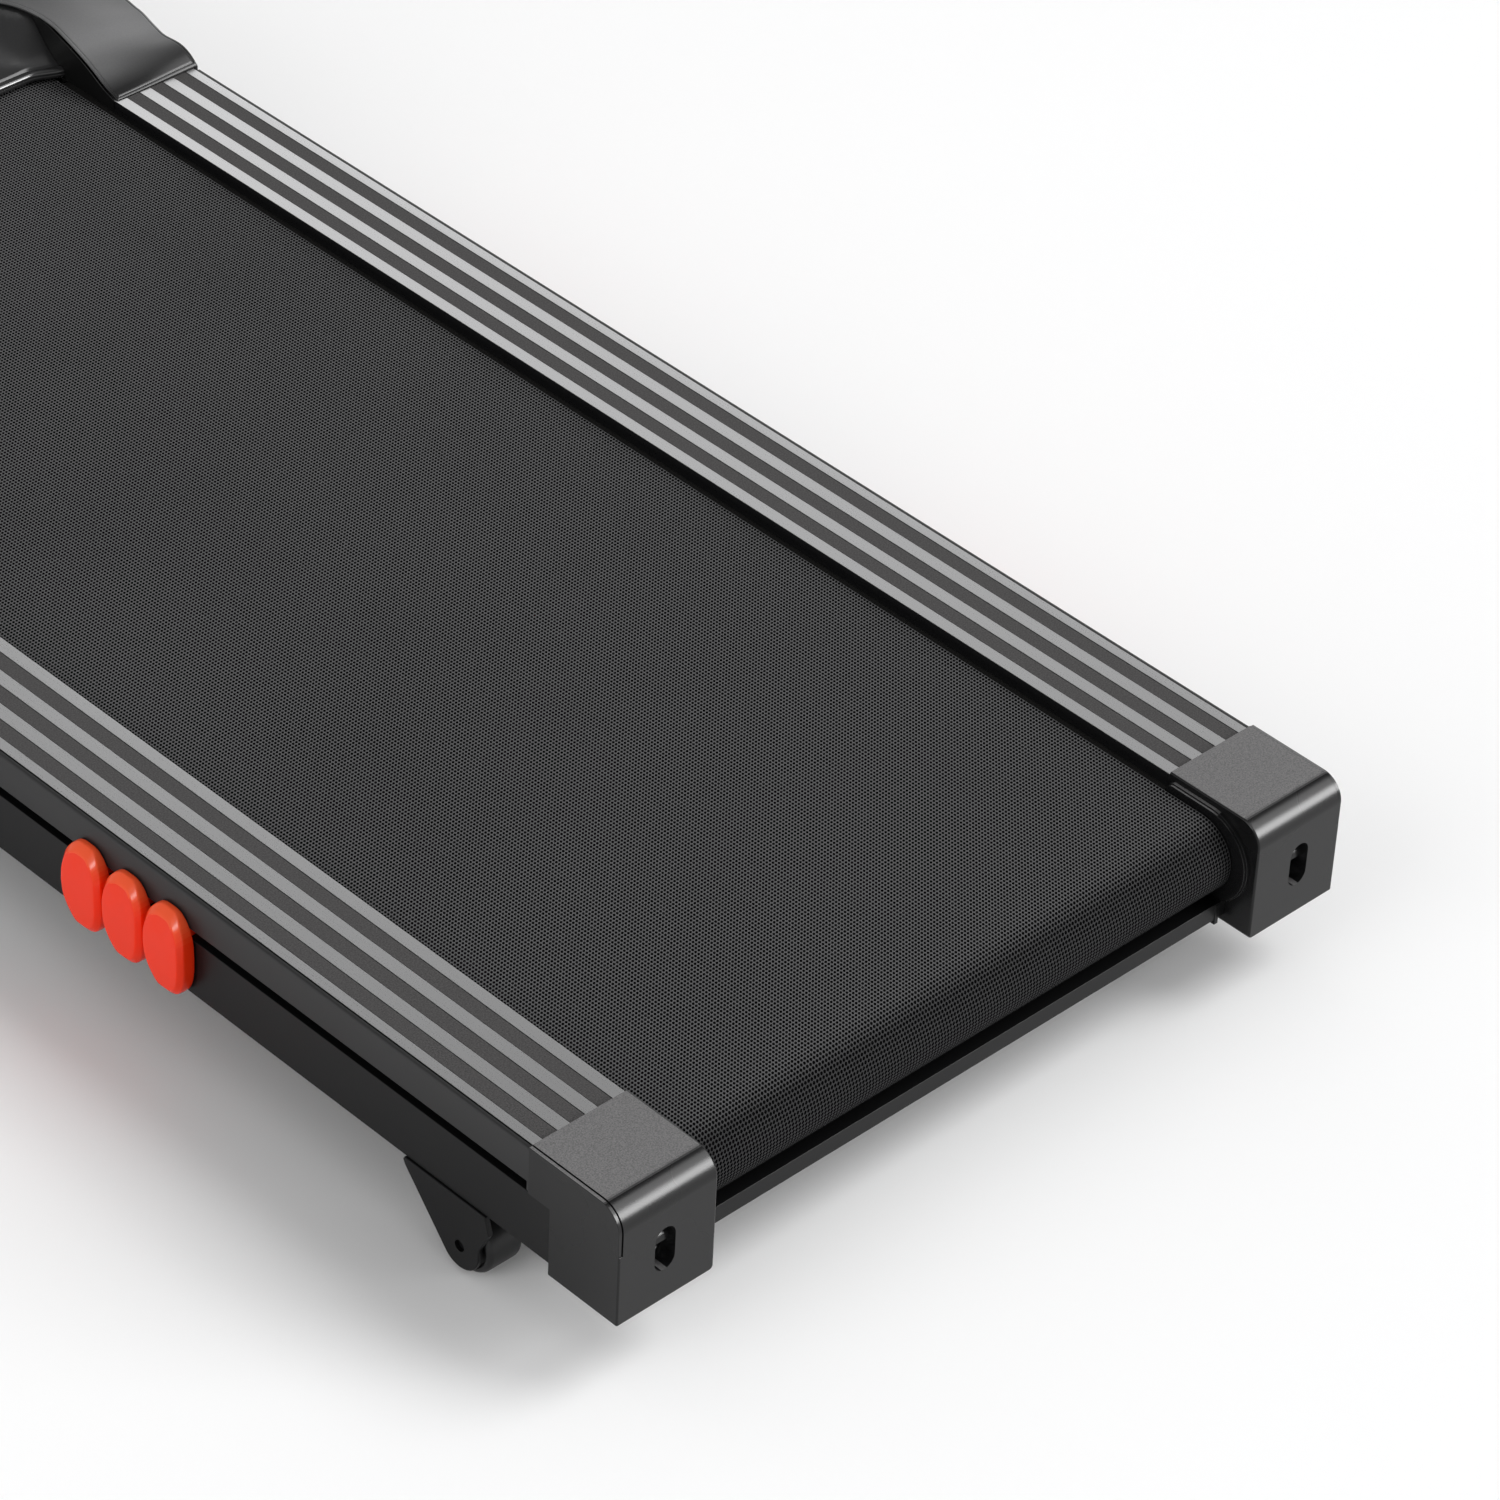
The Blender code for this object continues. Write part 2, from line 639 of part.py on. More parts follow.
def make_drive(looks):
    """The motor with its pulley, the drive belt and the control box."""
    body = rod("x", (MOTOR_Y, MOTOR_Z), MOTOR_RADIUS, MOTOR_LEFT, MOTOR_RIGHT)
    motor = add("motor_body", body, looks["frame_paint"])
    foot_x = (MOTOR_LEFT + MOTOR_FOOT_IN, MOTOR_RIGHT - MOTOR_FOOT_IN)
    foot_y = (MOTOR_Y - MOTOR_FOOT_HALF, MOTOR_Y + MOTOR_FOOT_HALF)
    join(motor, box(foot_x, foot_y, (MOTOR_BAR_TOP + FIT, MOTOR_Z - 0.6 * MOTOR_RADIUS)))

    profile = (
        (0, MOTOR_RIGHT + FIT),
        (MOTOR_SHAFT_RADIUS, MOTOR_RIGHT + FIT),
        (MOTOR_SHAFT_RADIUS, PULLEY_X[0]),
        (MOTOR_PULLEY_RADIUS, PULLEY_X[0]),
        (MOTOR_PULLEY_RADIUS, PULLEY_X[1]),
        (0, PULLEY_X[1]),
    )
    pulley = turned(profile, "x", steps=SMALL_STEPS)
    add("motor_pulley", pulley, looks["bright_steel"], (0, MOTOR_Y, MOTOR_Z))

    run = Vector((MOTOR_Y - FRONT_ROLLER_Y, MOTOR_Z - ROLLER_Z))
    lean = math.degrees(math.atan2(run.y, run.x))
    spread = math.degrees(math.acos((ROLLER_PULLEY_RADIUS - MOTOR_PULLEY_RADIUS) / run.length))
    loops = []
    for extra in (FIT + DRIVE_BELT_THICKNESS, FIT):
        large = ROLLER_PULLEY_RADIUS + extra
        small = MOTOR_PULLEY_RADIUS + extra
        wrap = arc((FRONT_ROLLER_Y, ROLLER_Z), large, lean + spread, lean + 360 - spread, 2 * ARC_STEPS)
        nose = arc((MOTOR_Y, MOTOR_Z), small, lean - spread, lean + spread, ARC_STEPS)
        loops.append(wrap + nose)
    belt_x = (PULLEY_X[0] + DRIVE_BELT_MARGIN, PULLEY_X[1] - DRIVE_BELT_MARGIN)
    add("drive_belt", ring_prism(loops[0], loops[1], "x", *belt_x), looks["grip_rubber"])

    width, depth, height = CONTROL_BOX_SIZE
    x = (CONTROL_BOX_X - width / 2, CONTROL_BOX_X + width / 2)
    y = (MOTOR_Y - depth / 2, MOTOR_Y + depth / 2)
    bottom = MOTOR_BAR_TOP + FIT
    add("control_box", box(x, y, (bottom, bottom + height)), looks["dark_plastic"])


def groove_edges():
    """The inner and outer x of each of a rail's grooves."""
    edges = []
    start = RAIL_INNER + INNER_LAND
    for _ in range(GROOVES):
        edges.append((start, start + GROOVE_WIDTH))
        start += GROOVE_WIDTH + MIDDLE_LAND
    return edges


def make_foot_rails(looks):
    """Ribbed aluminium foot rails, the dark strips in their grooves and the skirts beside them."""
    grooves = groove_edges()
    floor = RAIL_TOP - GROOVE_DEPTH
    under = RAIL_TOP - RAIL_PLATE
    middle = (RAIL_INNER + RAIL_OUTER) / 2
    half_leg = RAIL_LEG / 2
    for name, side in SIDES:
        outline = [(RAIL_INNER, RAIL_BOTTOM), (RAIL_INNER, RAIL_TOP)]
        for low, high in grooves:
            outline += [(low, RAIL_TOP), (low, floor), (high, floor), (high, RAIL_TOP)]
        outline += [(RAIL_OUTER, RAIL_TOP), (RAIL_OUTER, RAIL_BOTTOM)]
        for inner, outer in ((RAIL_OUTER - RAIL_LEG, None), (middle - half_leg, middle + half_leg)):
            if outer:
                outline += [(outer, under), (outer, RAIL_BOTTOM)]
            outline += [(inner, RAIL_BOTTOM), (inner, under)]
        outline += [(RAIL_INNER + RAIL_LEG, under), (RAIL_INNER + RAIL_LEG, RAIL_BOTTOM)]
        rail = prism([(side * x, z) for x, z in outline], "y", RAIL_REAR, RAIL_FRONT)
        add(f"foot_rail_{name}", rail, looks["satin_aluminium"])

        tie = RAIL_FRONT + FIT
        comb = [(grooves[0][0] + FIT, tie + GRIP_TIE_LENGTH)]
        for k, (low, high) in enumerate(grooves):
            comb += [(low + FIT, RAIL_REAR), (high - FIT, RAIL_REAR)]
            if k < GROOVES - 1:
                comb += [(high - FIT, tie), (grooves[k + 1][0] + FIT, tie)]
        comb.append((grooves[-1][1] - FIT, tie + GRIP_TIE_LENGTH))
        strips = prism([(side * x, y) for x, y in comb], "z", floor + FIT, RAIL_TOP - GRIP_SINK)
        add(f"rail_grip_{name}", strips, looks["grip_rubber"])

        x = (SIDE_FACE - SKIRT_WALL, SIDE_FACE)
        top = RAIL_TOP - 0.0005
        outline = (
            (RAIL_REAR, TUBE_TOP + FIT),
            (SKIRT_REAR_FOOT, TUBE_TOP + FIT),
            (SKIRT_REAR_FOOT, SKIRT_BOTTOM),
            (SKIRT_FRONT, SKIRT_BOTTOM),
            (SKIRT_FRONT, top),
            (RAIL_REAR, top),
        )
        skirt = prism(outline, "x", *span(side, *x))

        def top_edge(a, b, edge_x=side * SIDE_FACE, edge_z=top):
            outside = abs(a.x - edge_x) < 1e-5 and abs(b.x - edge_x) < 1e-5
            return outside and min(a.z, b.z) > edge_z - 1e-5

        add(f"side_skirt_{name}", round_edges(skirt, 0.0015, 3, top_edge), looks["dark_plastic"])


def make_rear_caps(looks):
    """The end caps over the rear of the deck, each with its roller guard and bolt pocket."""
    rear = -CAP_LENGTH
    step_y = TUBE_REAR - CAP_STEP
    step_z = TUBE_TOP + FIT
    centre = (rear + CAP_TOP_RADIUS, CAP_TOP - CAP_TOP_RADIUS)
    outline = [(step_y, CAP_BOTTOM), (step_y, step_z), (0, step_z), (0, CAP_TOP)]
    outline += arc(centre, CAP_TOP_RADIUS, 90, 180, 8)
    outline += [(rear, CAP_BOTTOM)]
    hollow = [(OVER, CAP_BOTTOM + CAP_WALL), (OVER, CAP_TOP - CAP_WALL)]
    hollow += arc(centre, CAP_TOP_RADIUS - CAP_WALL, 90, 180, 6)
    hollow += [(rear + CAP_WALL, CAP_BOTTOM + CAP_WALL)]

    guard_centre = (GUARD_CENTRE_Y, RAIL_TOP - GUARD_DROP)
    guard_top = RAIL_TOP - GUARD_TOP_DROP
    start = math.degrees(math.asin(min(1.0, (guard_top - guard_centre[1]) / GUARD_RADIUS)))
    guard = [(-FIT, guard_top)] + arc(guard_centre, GUARD_RADIUS, 180 - start, 270, 12)
    guard += [(step_y, guard_centre[1] - GUARD_RADIUS), (step_y, step_z), (-FIT, step_z)]

    access_z = RAIL_TOP - ACCESS_DROP
    straight = (ACCESS_HEIGHT - ACCESS_WIDTH) / 2
    bar_bottom = REAR_BAR_TOP - REAR_BAR_HEIGHT - FIT
    for name, side in SIDES:
        shell = prism(outline, "x", *span(side, CAP_INNER, CAP_OUTER))

        def rim(a, b):
            return abs(a.x - b.x) < 1e-5 and min(a.y, b.y) < -1e-4

        cap = add(f"rear_cap_{name}", round_edges(shell, CAP_EDGE_RADIUS, 2, rim), looks["grey_plastic"])
        cut(cap, prism(hollow, "x", *span(side, CAP_INNER + CAP_WALL, CAP_OUTER - CAP_WALL)))
        join(cap, prism(guard, "x", *span(side, GUARD_INNER, CAP_INNER + LAP)))

        def obround(margin):
            x = side * ACCESS_X
            radius = ACCESS_WIDTH / 2 + margin
            upper = arc((x, access_z + straight), radius, 0, 180, 8)
            lower = arc((x, access_z - straight), radius, 180, 360, 8)
            return upper + lower

        floor = rear + POCKET_DEPTH + POCKET_FLOOR
        join(cap, prism(obround(POCKET_WALL), "y", rear + LAP, floor))
        cut(cap, prism(obround(0), "y", rear - OVER, rear + POCKET_DEPTH))
        bolt = (side * BOLT_X, BOLT_Z)
        cut(cap, rod("y", bolt, BOLT_RADIUS + FIT, floor - OVER, floor + OVER, SMALL_STEPS))
        inner_wall = span(side, GUARD_INNER - OVER, CAP_INNER + OVER)
        axle = (REAR_ROLLER_Y, ROLLER_Z)
        cut(cap, rod("x", axle, AXLE_RADIUS + AXLE_HOLE_GAP, *inner_wall, SMALL_STEPS))
        bar_y = (REAR_BAR_REAR - LAP, OVER)
        cut(cap, box(inner_wall, bar_y, (bar_bottom, REAR_BAR_TOP + FIT)))


def make_shock_pads(looks):
    """Lobed rubber pads whose tongues carry the board on the side tubes."""
    top = RAIL_TOP - PAD_TOP_DROP
    bottom = top - PAD_HEIGHT
    back = SIDE_FACE + FIT
    face = SIDE_FACE + PAD_PROUD
    tongue_z = (TUBE_TOP + FIT, SKIRT_BOTTOM - FIT)
    length = (PAD_LOBES - 1) * PAD_PITCH + PAD_LOBE_WIDTH
    for place, middle in zip(("rear", "front"), PAD_CENTRES):
        for name, side in SIDES:
            y = (middle - length / 2, middle + length / 2)
            plate_y = (y[0] + PAD_BACK_IN, y[1] - PAD_BACK_IN)
            plate_z = (bottom + PAD_BACK_IN, top - PAD_BACK_IN)
            plate = box(span(side, back, back + PAD_BACK), plate_y, plate_z)
            pad = add(f"shock_pad_{place}_{name}", plate, looks["orange_pad"])
            for k in range(PAD_LOBES):
                centre = middle + (k - (PAD_LOBES - 1) / 2) * PAD_PITCH
                half = PAD_LOBE_WIDTH / 2
                lobe = box(span(side, back, face), (centre - half, centre + half), (bottom, top))

                def outer_edge(a, b, edge=side * face):
                    return abs(a.x - edge) < 1e-5 and abs(b.x - edge) < 1e-5

                join(pad, round_edges(lobe, PAD_SLOPE, 2, outer_edge))
            tongue_y = (y[0] + PAD_TONGUE_IN, y[1] - PAD_TONGUE_IN)
            join(pad, box(span(side, PAD_TONGUE_INNER, back + LAP), tongue_y, tongue_z))


def wheel_profile(radius, width, bore, hub, recess):
    """Half of a small wheel with a sunken hub, as (radius, along) points."""
    half = width / 2
    rim = 0.78 * radius
    return (
        (bore, -half + recess * 0.2),
        (hub, -half + recess * 0.2),
        (hub, -half + recess),
        (rim, -half + recess),
        (rim, -half),
        (radius, -half),
        (radius, half),
        (rim, half),
        (rim, half - recess),
        (hub, half - recess),
        (hub, half - recess * 0.2),
        (bore, half - recess * 0.2),
    )


def make_rear_wheels(looks):
    """Small rear wheels, each on the pin of a plate bracket under the side tube."""
    top = TUBE_BOTTOM - FIT
    plate_inner = BRACKET_OUTER - BRACKET_THICKNESS
    wheel_outer = plate_inner - WHEEL_GAP
    wheel_middle = wheel_outer - WHEEL_WIDTH / 2
    hub = (WHEEL_Y, WHEEL_RADIUS)
    front_y, front_drop = BRACKET_FRONT_WAIST
    rear_y, rear_drop = BRACKET_REAR_WAIST
    outline = [(BRACKET_FRONT, top), (BRACKET_FRONT - BRACKET_TOE, top - 3 * BRACKET_TOE)]
    outline.append((WHEEL_Y + front_y, top - front_drop))
    outline += arc(hub, BRACKET_ROUND, 35, -215, 14)
    outline += [(WHEEL_Y + rear_y, top - rear_drop), (BRACKET_REAR, top)]
    outline.reverse()
    for name, side in SIDES:
        plate = prism(outline, "x", *span(side, plate_inner, BRACKET_OUTER))
        bracket = add(f"wheel_bracket_{name}", plate, looks["frame_paint"])
        flange_x = span(side, TUBE_INNER, plate_inner + LAP)
        join(bracket, box(flange_x, (BRACKET_REAR, BRACKET_FRONT), (top - BRACKET_FLANGE, top)))
        pin_x = span(side, wheel_outer - WHEEL_WIDTH - WHEEL_PIN_END, BRACKET_OUTER - BRACKET_HOLE_DEPTH)
        join(bracket, rod("x", hub, WHEEL_PIN_RADIUS, *pin_x, SMALL_STEPS))
        recess = span(side, BRACKET_OUTER - BRACKET_HOLE_DEPTH, BRACKET_OUTER + OVER)
        cut(bracket, rod("x", hub, WHEEL_PIN_RADIUS + FIT, *recess, SMALL_STEPS))

        profile = wheel_profile(
            WHEEL_RADIUS, WHEEL_WIDTH, WHEEL_PIN_RADIUS + RUNNING_GAP, WHEEL_HUB_RADIUS, WHEEL_HUB_RECESS
        )
        add(f"rear_wheel_{name}", turned(profile, "x"), looks["dark_plastic"], (side * wheel_middle, *hub))


# The hood's heights above the rail top, as (y, height)
HOOD_EDGE = ((0.968, 0.0015), (0.985, 0.0100), (1.005, 0.0100), (1.022, 0.0150), (1.047, 0.0190),
             (1.090, 0.0320), (1.150, 0.0400), (1.250, 0.0340), (1.310, 0.0160), (1.3255, 0.0040))
HOOD_CREST = ((0.968, 0.0015), (0.989, 0.0100), (1.003, 0.0170), (1.018, 0.0226), (1.048, 0.0274),
              (1.090, 0.0400), (1.150, 0.0560), (1.250, 0.0500), (1.310, 0.0300), (1.3255, 0.0120))
HOOD_MIDDLE = ((1.030, 0.0010), (1.045, 0.0060), (1.090, 0.0330), (1.150, 0.0640), (1.200, 0.0700),
               (1.250, 0.0620), (1.310, 0.0400), (1.3255, 0.0240))
HOOD_ROWS = (0.968, 0.975, 0.985, 1.000, 1.015, 1.030, 1.045, 1.065, 1.090, 1.120, 1.155, 1.200,
             1.245, 1.280, 1.305)
HOOD_COLUMNS = [0.0, HOOD_SWELL_HALF, 2 * HOOD_SWELL_HALF, HOOD_PANEL_HALF, HOOD_INNER_FOOT, RAIL_INNER]
HOOD_COLUMNS += [RAIL_INNER + share * RAIL_WIDTH for share in (0.194, 0.448, 0.701, 0.896)]


def height_at(curve, y):
    """The height of a curve of (y, height) points, straight between them."""
    for (y0, h0), (y1, h1) in zip(curve, curve[1:]):
        if y <= y1:
            share = max(0.0, (y - y0) / (y1 - y0))
            return h0 + (h1 - h0) * share
    return curve[-1][1]


def hood_top(x, y):
    """The height of the hood's outer surface above the floor."""
    out = abs(x)
    crest = height_at(HOOD_CREST, y)
    edge = height_at(HOOD_EDGE, y)
    if out >= RAIL_INNER:
        share = (out - RAIL_INNER) / (SIDE_FACE - RAIL_INNER)
        return RAIL_TOP + crest + (edge - crest) * share ** 2
    if out <= HOOD_PANEL_HALF or y > HOOD_SWELL_REAR:
        blend = max(0.0, (out - HOOD_SWELL_HALF) / (RAIL_INNER - HOOD_SWELL_HALF))
        middle = height_at(HOOD_MIDDLE, y)
        lean = blend ** 2 if y > HOOD_SWELL_REAR else 0.0
        return RAIL_TOP + middle + (crest - middle) * lean
    share = (out - HOOD_PANEL_HALF) / (RAIL_INNER - HOOD_PANEL_HALF)
    middle = height_at(HOOD_MIDDLE, max(y, HOOD_LIP_Y))
    return RAIL_TOP + middle + (crest - middle) * share


def hood_under(x, y):
    """The height of the hood's inner surface, which drops to the lower rim of its side and front walls."""
    if y > HOOD_FRONT - HOOD_WALL - 1e-6:
        return TUBE_BOTTOM + FIT
    if abs(x) > SIDE_FACE - HOOD_WALL - 1e-6:
        return HOOD_SKIRT_BOTTOM
    under = hood_top(x, y) - HOOD_WALL
    if y < BOARD_FRONT:
        under = max(under, RAIL_TOP + FIT)
    return under


def make_hood(looks):
    """The motor hood: one moulded shell with a shoulder over each foot rail."""
    inner_side = SIDE_FACE - HOOD_WALL
    half = HOOD_COLUMNS + [inner_side - 0.0001, inner_side, SIDE_FACE]
    columns = [-x for x in reversed(half[1:])] + half
    rows = list(HOOD_ROWS) + [HOOD_FRONT - HOOD_WALL - 0.0001, HOOD_FRONT - HOOD_WALL, HOOD_FRONT]
    bm = bmesh.new()
    cells = []
    for r in range(len(rows) - 1):
        for c in range(len(columns) - 1):
            middle_x = abs(columns[c] + columns[c + 1]) / 2
            if rows[r] >= HOOD_LIP_Y or middle_x > HOOD_INNER_FOOT:
                cells.append((r, c))
    verts = {}

    def vert(layer, r, c):
        key = (layer, r, c)
        if key not in verts:
            height = (hood_top, hood_under)[layer](columns[c], rows[r])
            verts[key] = bm.verts.new((columns[c], rows[r], height))
        return verts[key]

    edges = {}
    for r, c in cells:
        corners = ((r, c), (r, c + 1), (r + 1, c + 1), (r + 1, c))
        for layer in (0, 1):
            bm.faces.new([vert(layer, *corner) for corner in corners])
        for k in range(4):
            edge = tuple(sorted((corners[k], corners[(k + 1) % 4])))
            edges[edge] = edges.get(edge, 0) + 1
    for (first, second), uses in edges.items():
        if uses == 1:
            bm.faces.new((vert(0, *first), vert(0, *second), vert(1, *second), vert(1, *first)))
    hood = add("motor_hood", closed(bm), looks["gloss_grey"])

    width, depth, height = SWITCH_SIZE
    hole_x = (SWITCH_X - width / 2 - 0.0005, SWITCH_X + width / 2 + 0.0005)
    hole_z = (SWITCH_Z - height / 2 - 0.0012, SWITCH_Z + height / 2 + 0.0012)
    cut(hood, box(hole_x, (HOOD_FRONT - OVER, HOOD_FRONT + OVER), hole_z))

    tip = height / 2 - 0.0005
    outline = ((-depth / 2, -0.006), (0.0040, -tip), (0.0024, 0.0), (0.0040, tip), (-depth / 2, 0.006))
    rocker = prism(outline, "x", -width / 2, width / 2)
    add("power_switch", rocker, looks["stop_red"], (SWITCH_X, HOOD_FRONT - 0.0030, SWITCH_Z))


def make_belly_pan(looks):
    """The cover under the motor, with vents."""
    top = TUBE_BOTTOM - FIT
    z = (top - PAN_THICKNESS, top)
    pan = add("belly_pan", box((-SIDE_FACE, SIDE_FACE), (PAN_REAR, TUBE_FRONT), z), looks["dark_plastic"])
    long, wide = PAN_VENT_SIZE
    for k in range(PAN_VENTS):
        y = MOTOR_Y + (k - (PAN_VENTS - 1) / 2) * 2.5 * wide
        cut(pan, box((-long / 2, long / 2), (y - wide / 2, y + wide / 2), (z[0] - OVER, z[1] + OVER)))


def make_strut(looks):
    """The gas strut that carries the deck up, modelled along -Y from the pin on the base."""
    rise = STRUT_DECK[1] - STRUT_BASE[1]
    run = STRUT_BASE[0] - STRUT_DECK[0]
    length = math.hypot(rise, run)
    tilt = -math.atan2(rise, run)
    origin = (0, *STRUT_BASE)
    gland = STRUT_TUBE_LENGTH - STRUT_GLAND
    eye_lap = STRUT_EYE_RADIUS - LAP
    rod_gap = STRUT_ROD_RADIUS + RUNNING_GAP
    profile = (
        (0, -eye_lap),
        (STRUT_RADIUS, -eye_lap),
        (STRUT_RADIUS, -STRUT_TUBE_LENGTH),
        (rod_gap, -STRUT_TUBE_LENGTH),
        (rod_gap, -gland),
        (STRUT_BORE, -gland),
        (STRUT_BORE, -STRUT_BORE_START),
        (0, -STRUT_BORE_START),
    )
    tube = add("strut_cylinder", turned(profile, "y"), looks["frame_paint"], origin, tilt)
    eye = (-STRUT_EYE_HALF, STRUT_EYE_HALF)
    join(tube, rod("x", (0, 0), STRUT_EYE_RADIUS, *eye))
    through = (-STRUT_EYE_HALF - OVER, STRUT_EYE_HALF + OVER)
    cut(tube, rod("x", (0, 0), STRUT_PIN_RADIUS + RUNNING_GAP, *through, SMALL_STEPS))

    inner = STRUT_TUBE_LENGTH - STRUT_ROD_INSIDE
    piston = STRUT_BORE - RUNNING_GAP
    profile = (
        (0, -inner),
        (piston, -inner),
        (piston, -inner - STRUT_PISTON),
        (STRUT_ROD_RADIUS, -inner - STRUT_PISTON),
        (STRUT_ROD_RADIUS, eye_lap - length),
        (0, eye_lap - length),
    )
    shaft = add("strut_rod", turned(profile, "y", steps=SMALL_STEPS), looks["bright_steel"], origin, tilt)
    join(shaft, rod("x", (-length, 0), STRUT_EYE_RADIUS, *eye))
    cut(shaft, rod("x", (-length, 0), STRUT_PIN_RADIUS + RUNNING_GAP, *through, SMALL_STEPS))


def make_base(looks):
    """The fixed base frame, with its feet, its hinge ears and the transport wheels' forks."""
    paint = looks["frame_paint"]
    z = (BASE_BOTTOM, BASE_TOP)
    for name, side in SIDES:
        x = span(side, BASE_INNER, BASE_OUTER)
        tube = add(f"base_tube_{name}", square_tube("y", BASE_REAR, BASE_FRONT, x, z, TUBE_WALL), paint)
        fork = (FORK_REAR, BASE_FRONT + OVER)
        fork_z = (BASE_BOTTOM - OVER, BASE_TOP + OVER)
        cut(tube, box(span(side, BASE_INNER + TUBE_WALL, BASE_OUTER - TUBE_WALL), fork, fork_z))
        ear_x = span(side, BASE_INNER, BASE_INNER + EAR_THICKNESS)
        ear = box(ear_x, (EAR_REAR, EAR_FRONT), (BASE_TOP - LAP, EAR_TOP))
        join(tube, ear)
        pin = span(side, BASE_INNER + LAP, BASE_OUTER - LAP)
        join(tube, rod("x", TRANSPORT_WHEEL, TRANSPORT_PIN, *pin, SMALL_STEPS))
        wide = span(side, BASE_INNER - OVER, BASE_INNER + EAR_THICKNESS + OVER)
        cut(tube, rod("x", (HINGE_Y, HINGE_Z), PIVOT_RADIUS + RUNNING_GAP, *wide))
        if name == "right":
            cut(tube, rod("x", (LOCK_Y, LOCK_Z), LOCK_PIN_RADIUS + RUNNING_GAP, *wide, SMALL_STEPS))

        width = BASE_SIZE - 2 * TUBE_WALL - 2 * WHEEL_GAP
        profile = wheel_profile(TRANSPORT_RADIUS, width, TRANSPORT_PIN + RUNNING_GAP, *TRANSPORT_HUB)
        middle = side * (BASE_INNER + BASE_OUTER) / 2
        add(f"front_wheel_{name}", turned(profile, "x"), looks["dark_plastic"], (middle, *TRANSPORT_WHEEL))

        foot_x = span(side, BASE_INNER - FOOT_MARGIN, BASE_OUTER + FOOT_MARGIN)
        rear_end = BASE_REAR - FIT
        under = BASE_BOTTOM - FIT
        outline = (
            (rear_end - FOOT_END, 0.0),
            (rear_end + FOOT_LENGTH, 0.0),
            (rear_end + FOOT_LENGTH, under),
            (rear_end, under),
            (rear_end, BASE_TOP + FOOT_MARGIN),
            (rear_end - FOOT_END, BASE_TOP + FOOT_MARGIN),
        )
        add(f"base_foot_rear_{name}", prism(outline, "x", *foot_x), looks["grip_rubber"])
        foot_y = (FRONT_FOOT_Y, FRONT_FOOT_Y + FOOT_LENGTH)
        add(f"base_foot_front_{name}", box(foot_x, foot_y, (0.0, under)), looks["grip_rubber"])

    between = BASE_INNER - FIT
    front_y = (FRONT_BAR_REAR, FRONT_BAR_REAR + FRONT_BAR_DEPTH)
    add("base_front_crossbar", square_tube("x", -between, between, front_y, z, TUBE_WALL), paint)

    rear_y = (REAR_BASE_BAR_REAR, REAR_BASE_BAR_REAR + REAR_BASE_BAR_DEPTH)
    rear_z = (BASE_BOTTOM, BASE_BOTTOM + REAR_BASE_BAR_HEIGHT)
    bar = add("base_rear_crossbar", square_tube("x", -between, between, rear_y, rear_z, TUBE_WALL), paint)
    inner = STRUT_EYE_HALF + STRUT_EAR_GAP
    for side in (-1, 1):
        ear_y = (STRUT_BASE[0] - BASE_EAR_REACH, REAR_BASE_BAR_REAR + LAP)
        ear_z = (STRUT_BASE[1] - BASE_EAR_REACH, STRUT_BASE[1] + BASE_EAR_REACH)
        join(bar, box(span(side, inner, inner + STRUT_EAR), ear_y, ear_z))
    join(bar, rod("x", STRUT_BASE, STRUT_PIN_RADIUS, -inner - LAP, inner + LAP, SMALL_STEPS))

    head = BASE_INNER + EAR_THICKNESS + FIT
    profile = (
        (0, -head - PIVOT_HEAD),
        (PIVOT_HEAD_RADIUS, -head - PIVOT_HEAD),
        (PIVOT_HEAD_RADIUS, -head),
        (PIVOT_RADIUS, -head),
        (PIVOT_RADIUS, head),
        (PIVOT_HEAD_RADIUS, head),
        (PIVOT_HEAD_RADIUS, head + PIVOT_HEAD),
        (0, head + PIVOT_HEAD),
    )
    add("deck_pivot_shaft", turned(profile, "x"), looks["bright_steel"], (0, HINGE_Y, HINGE_Z))


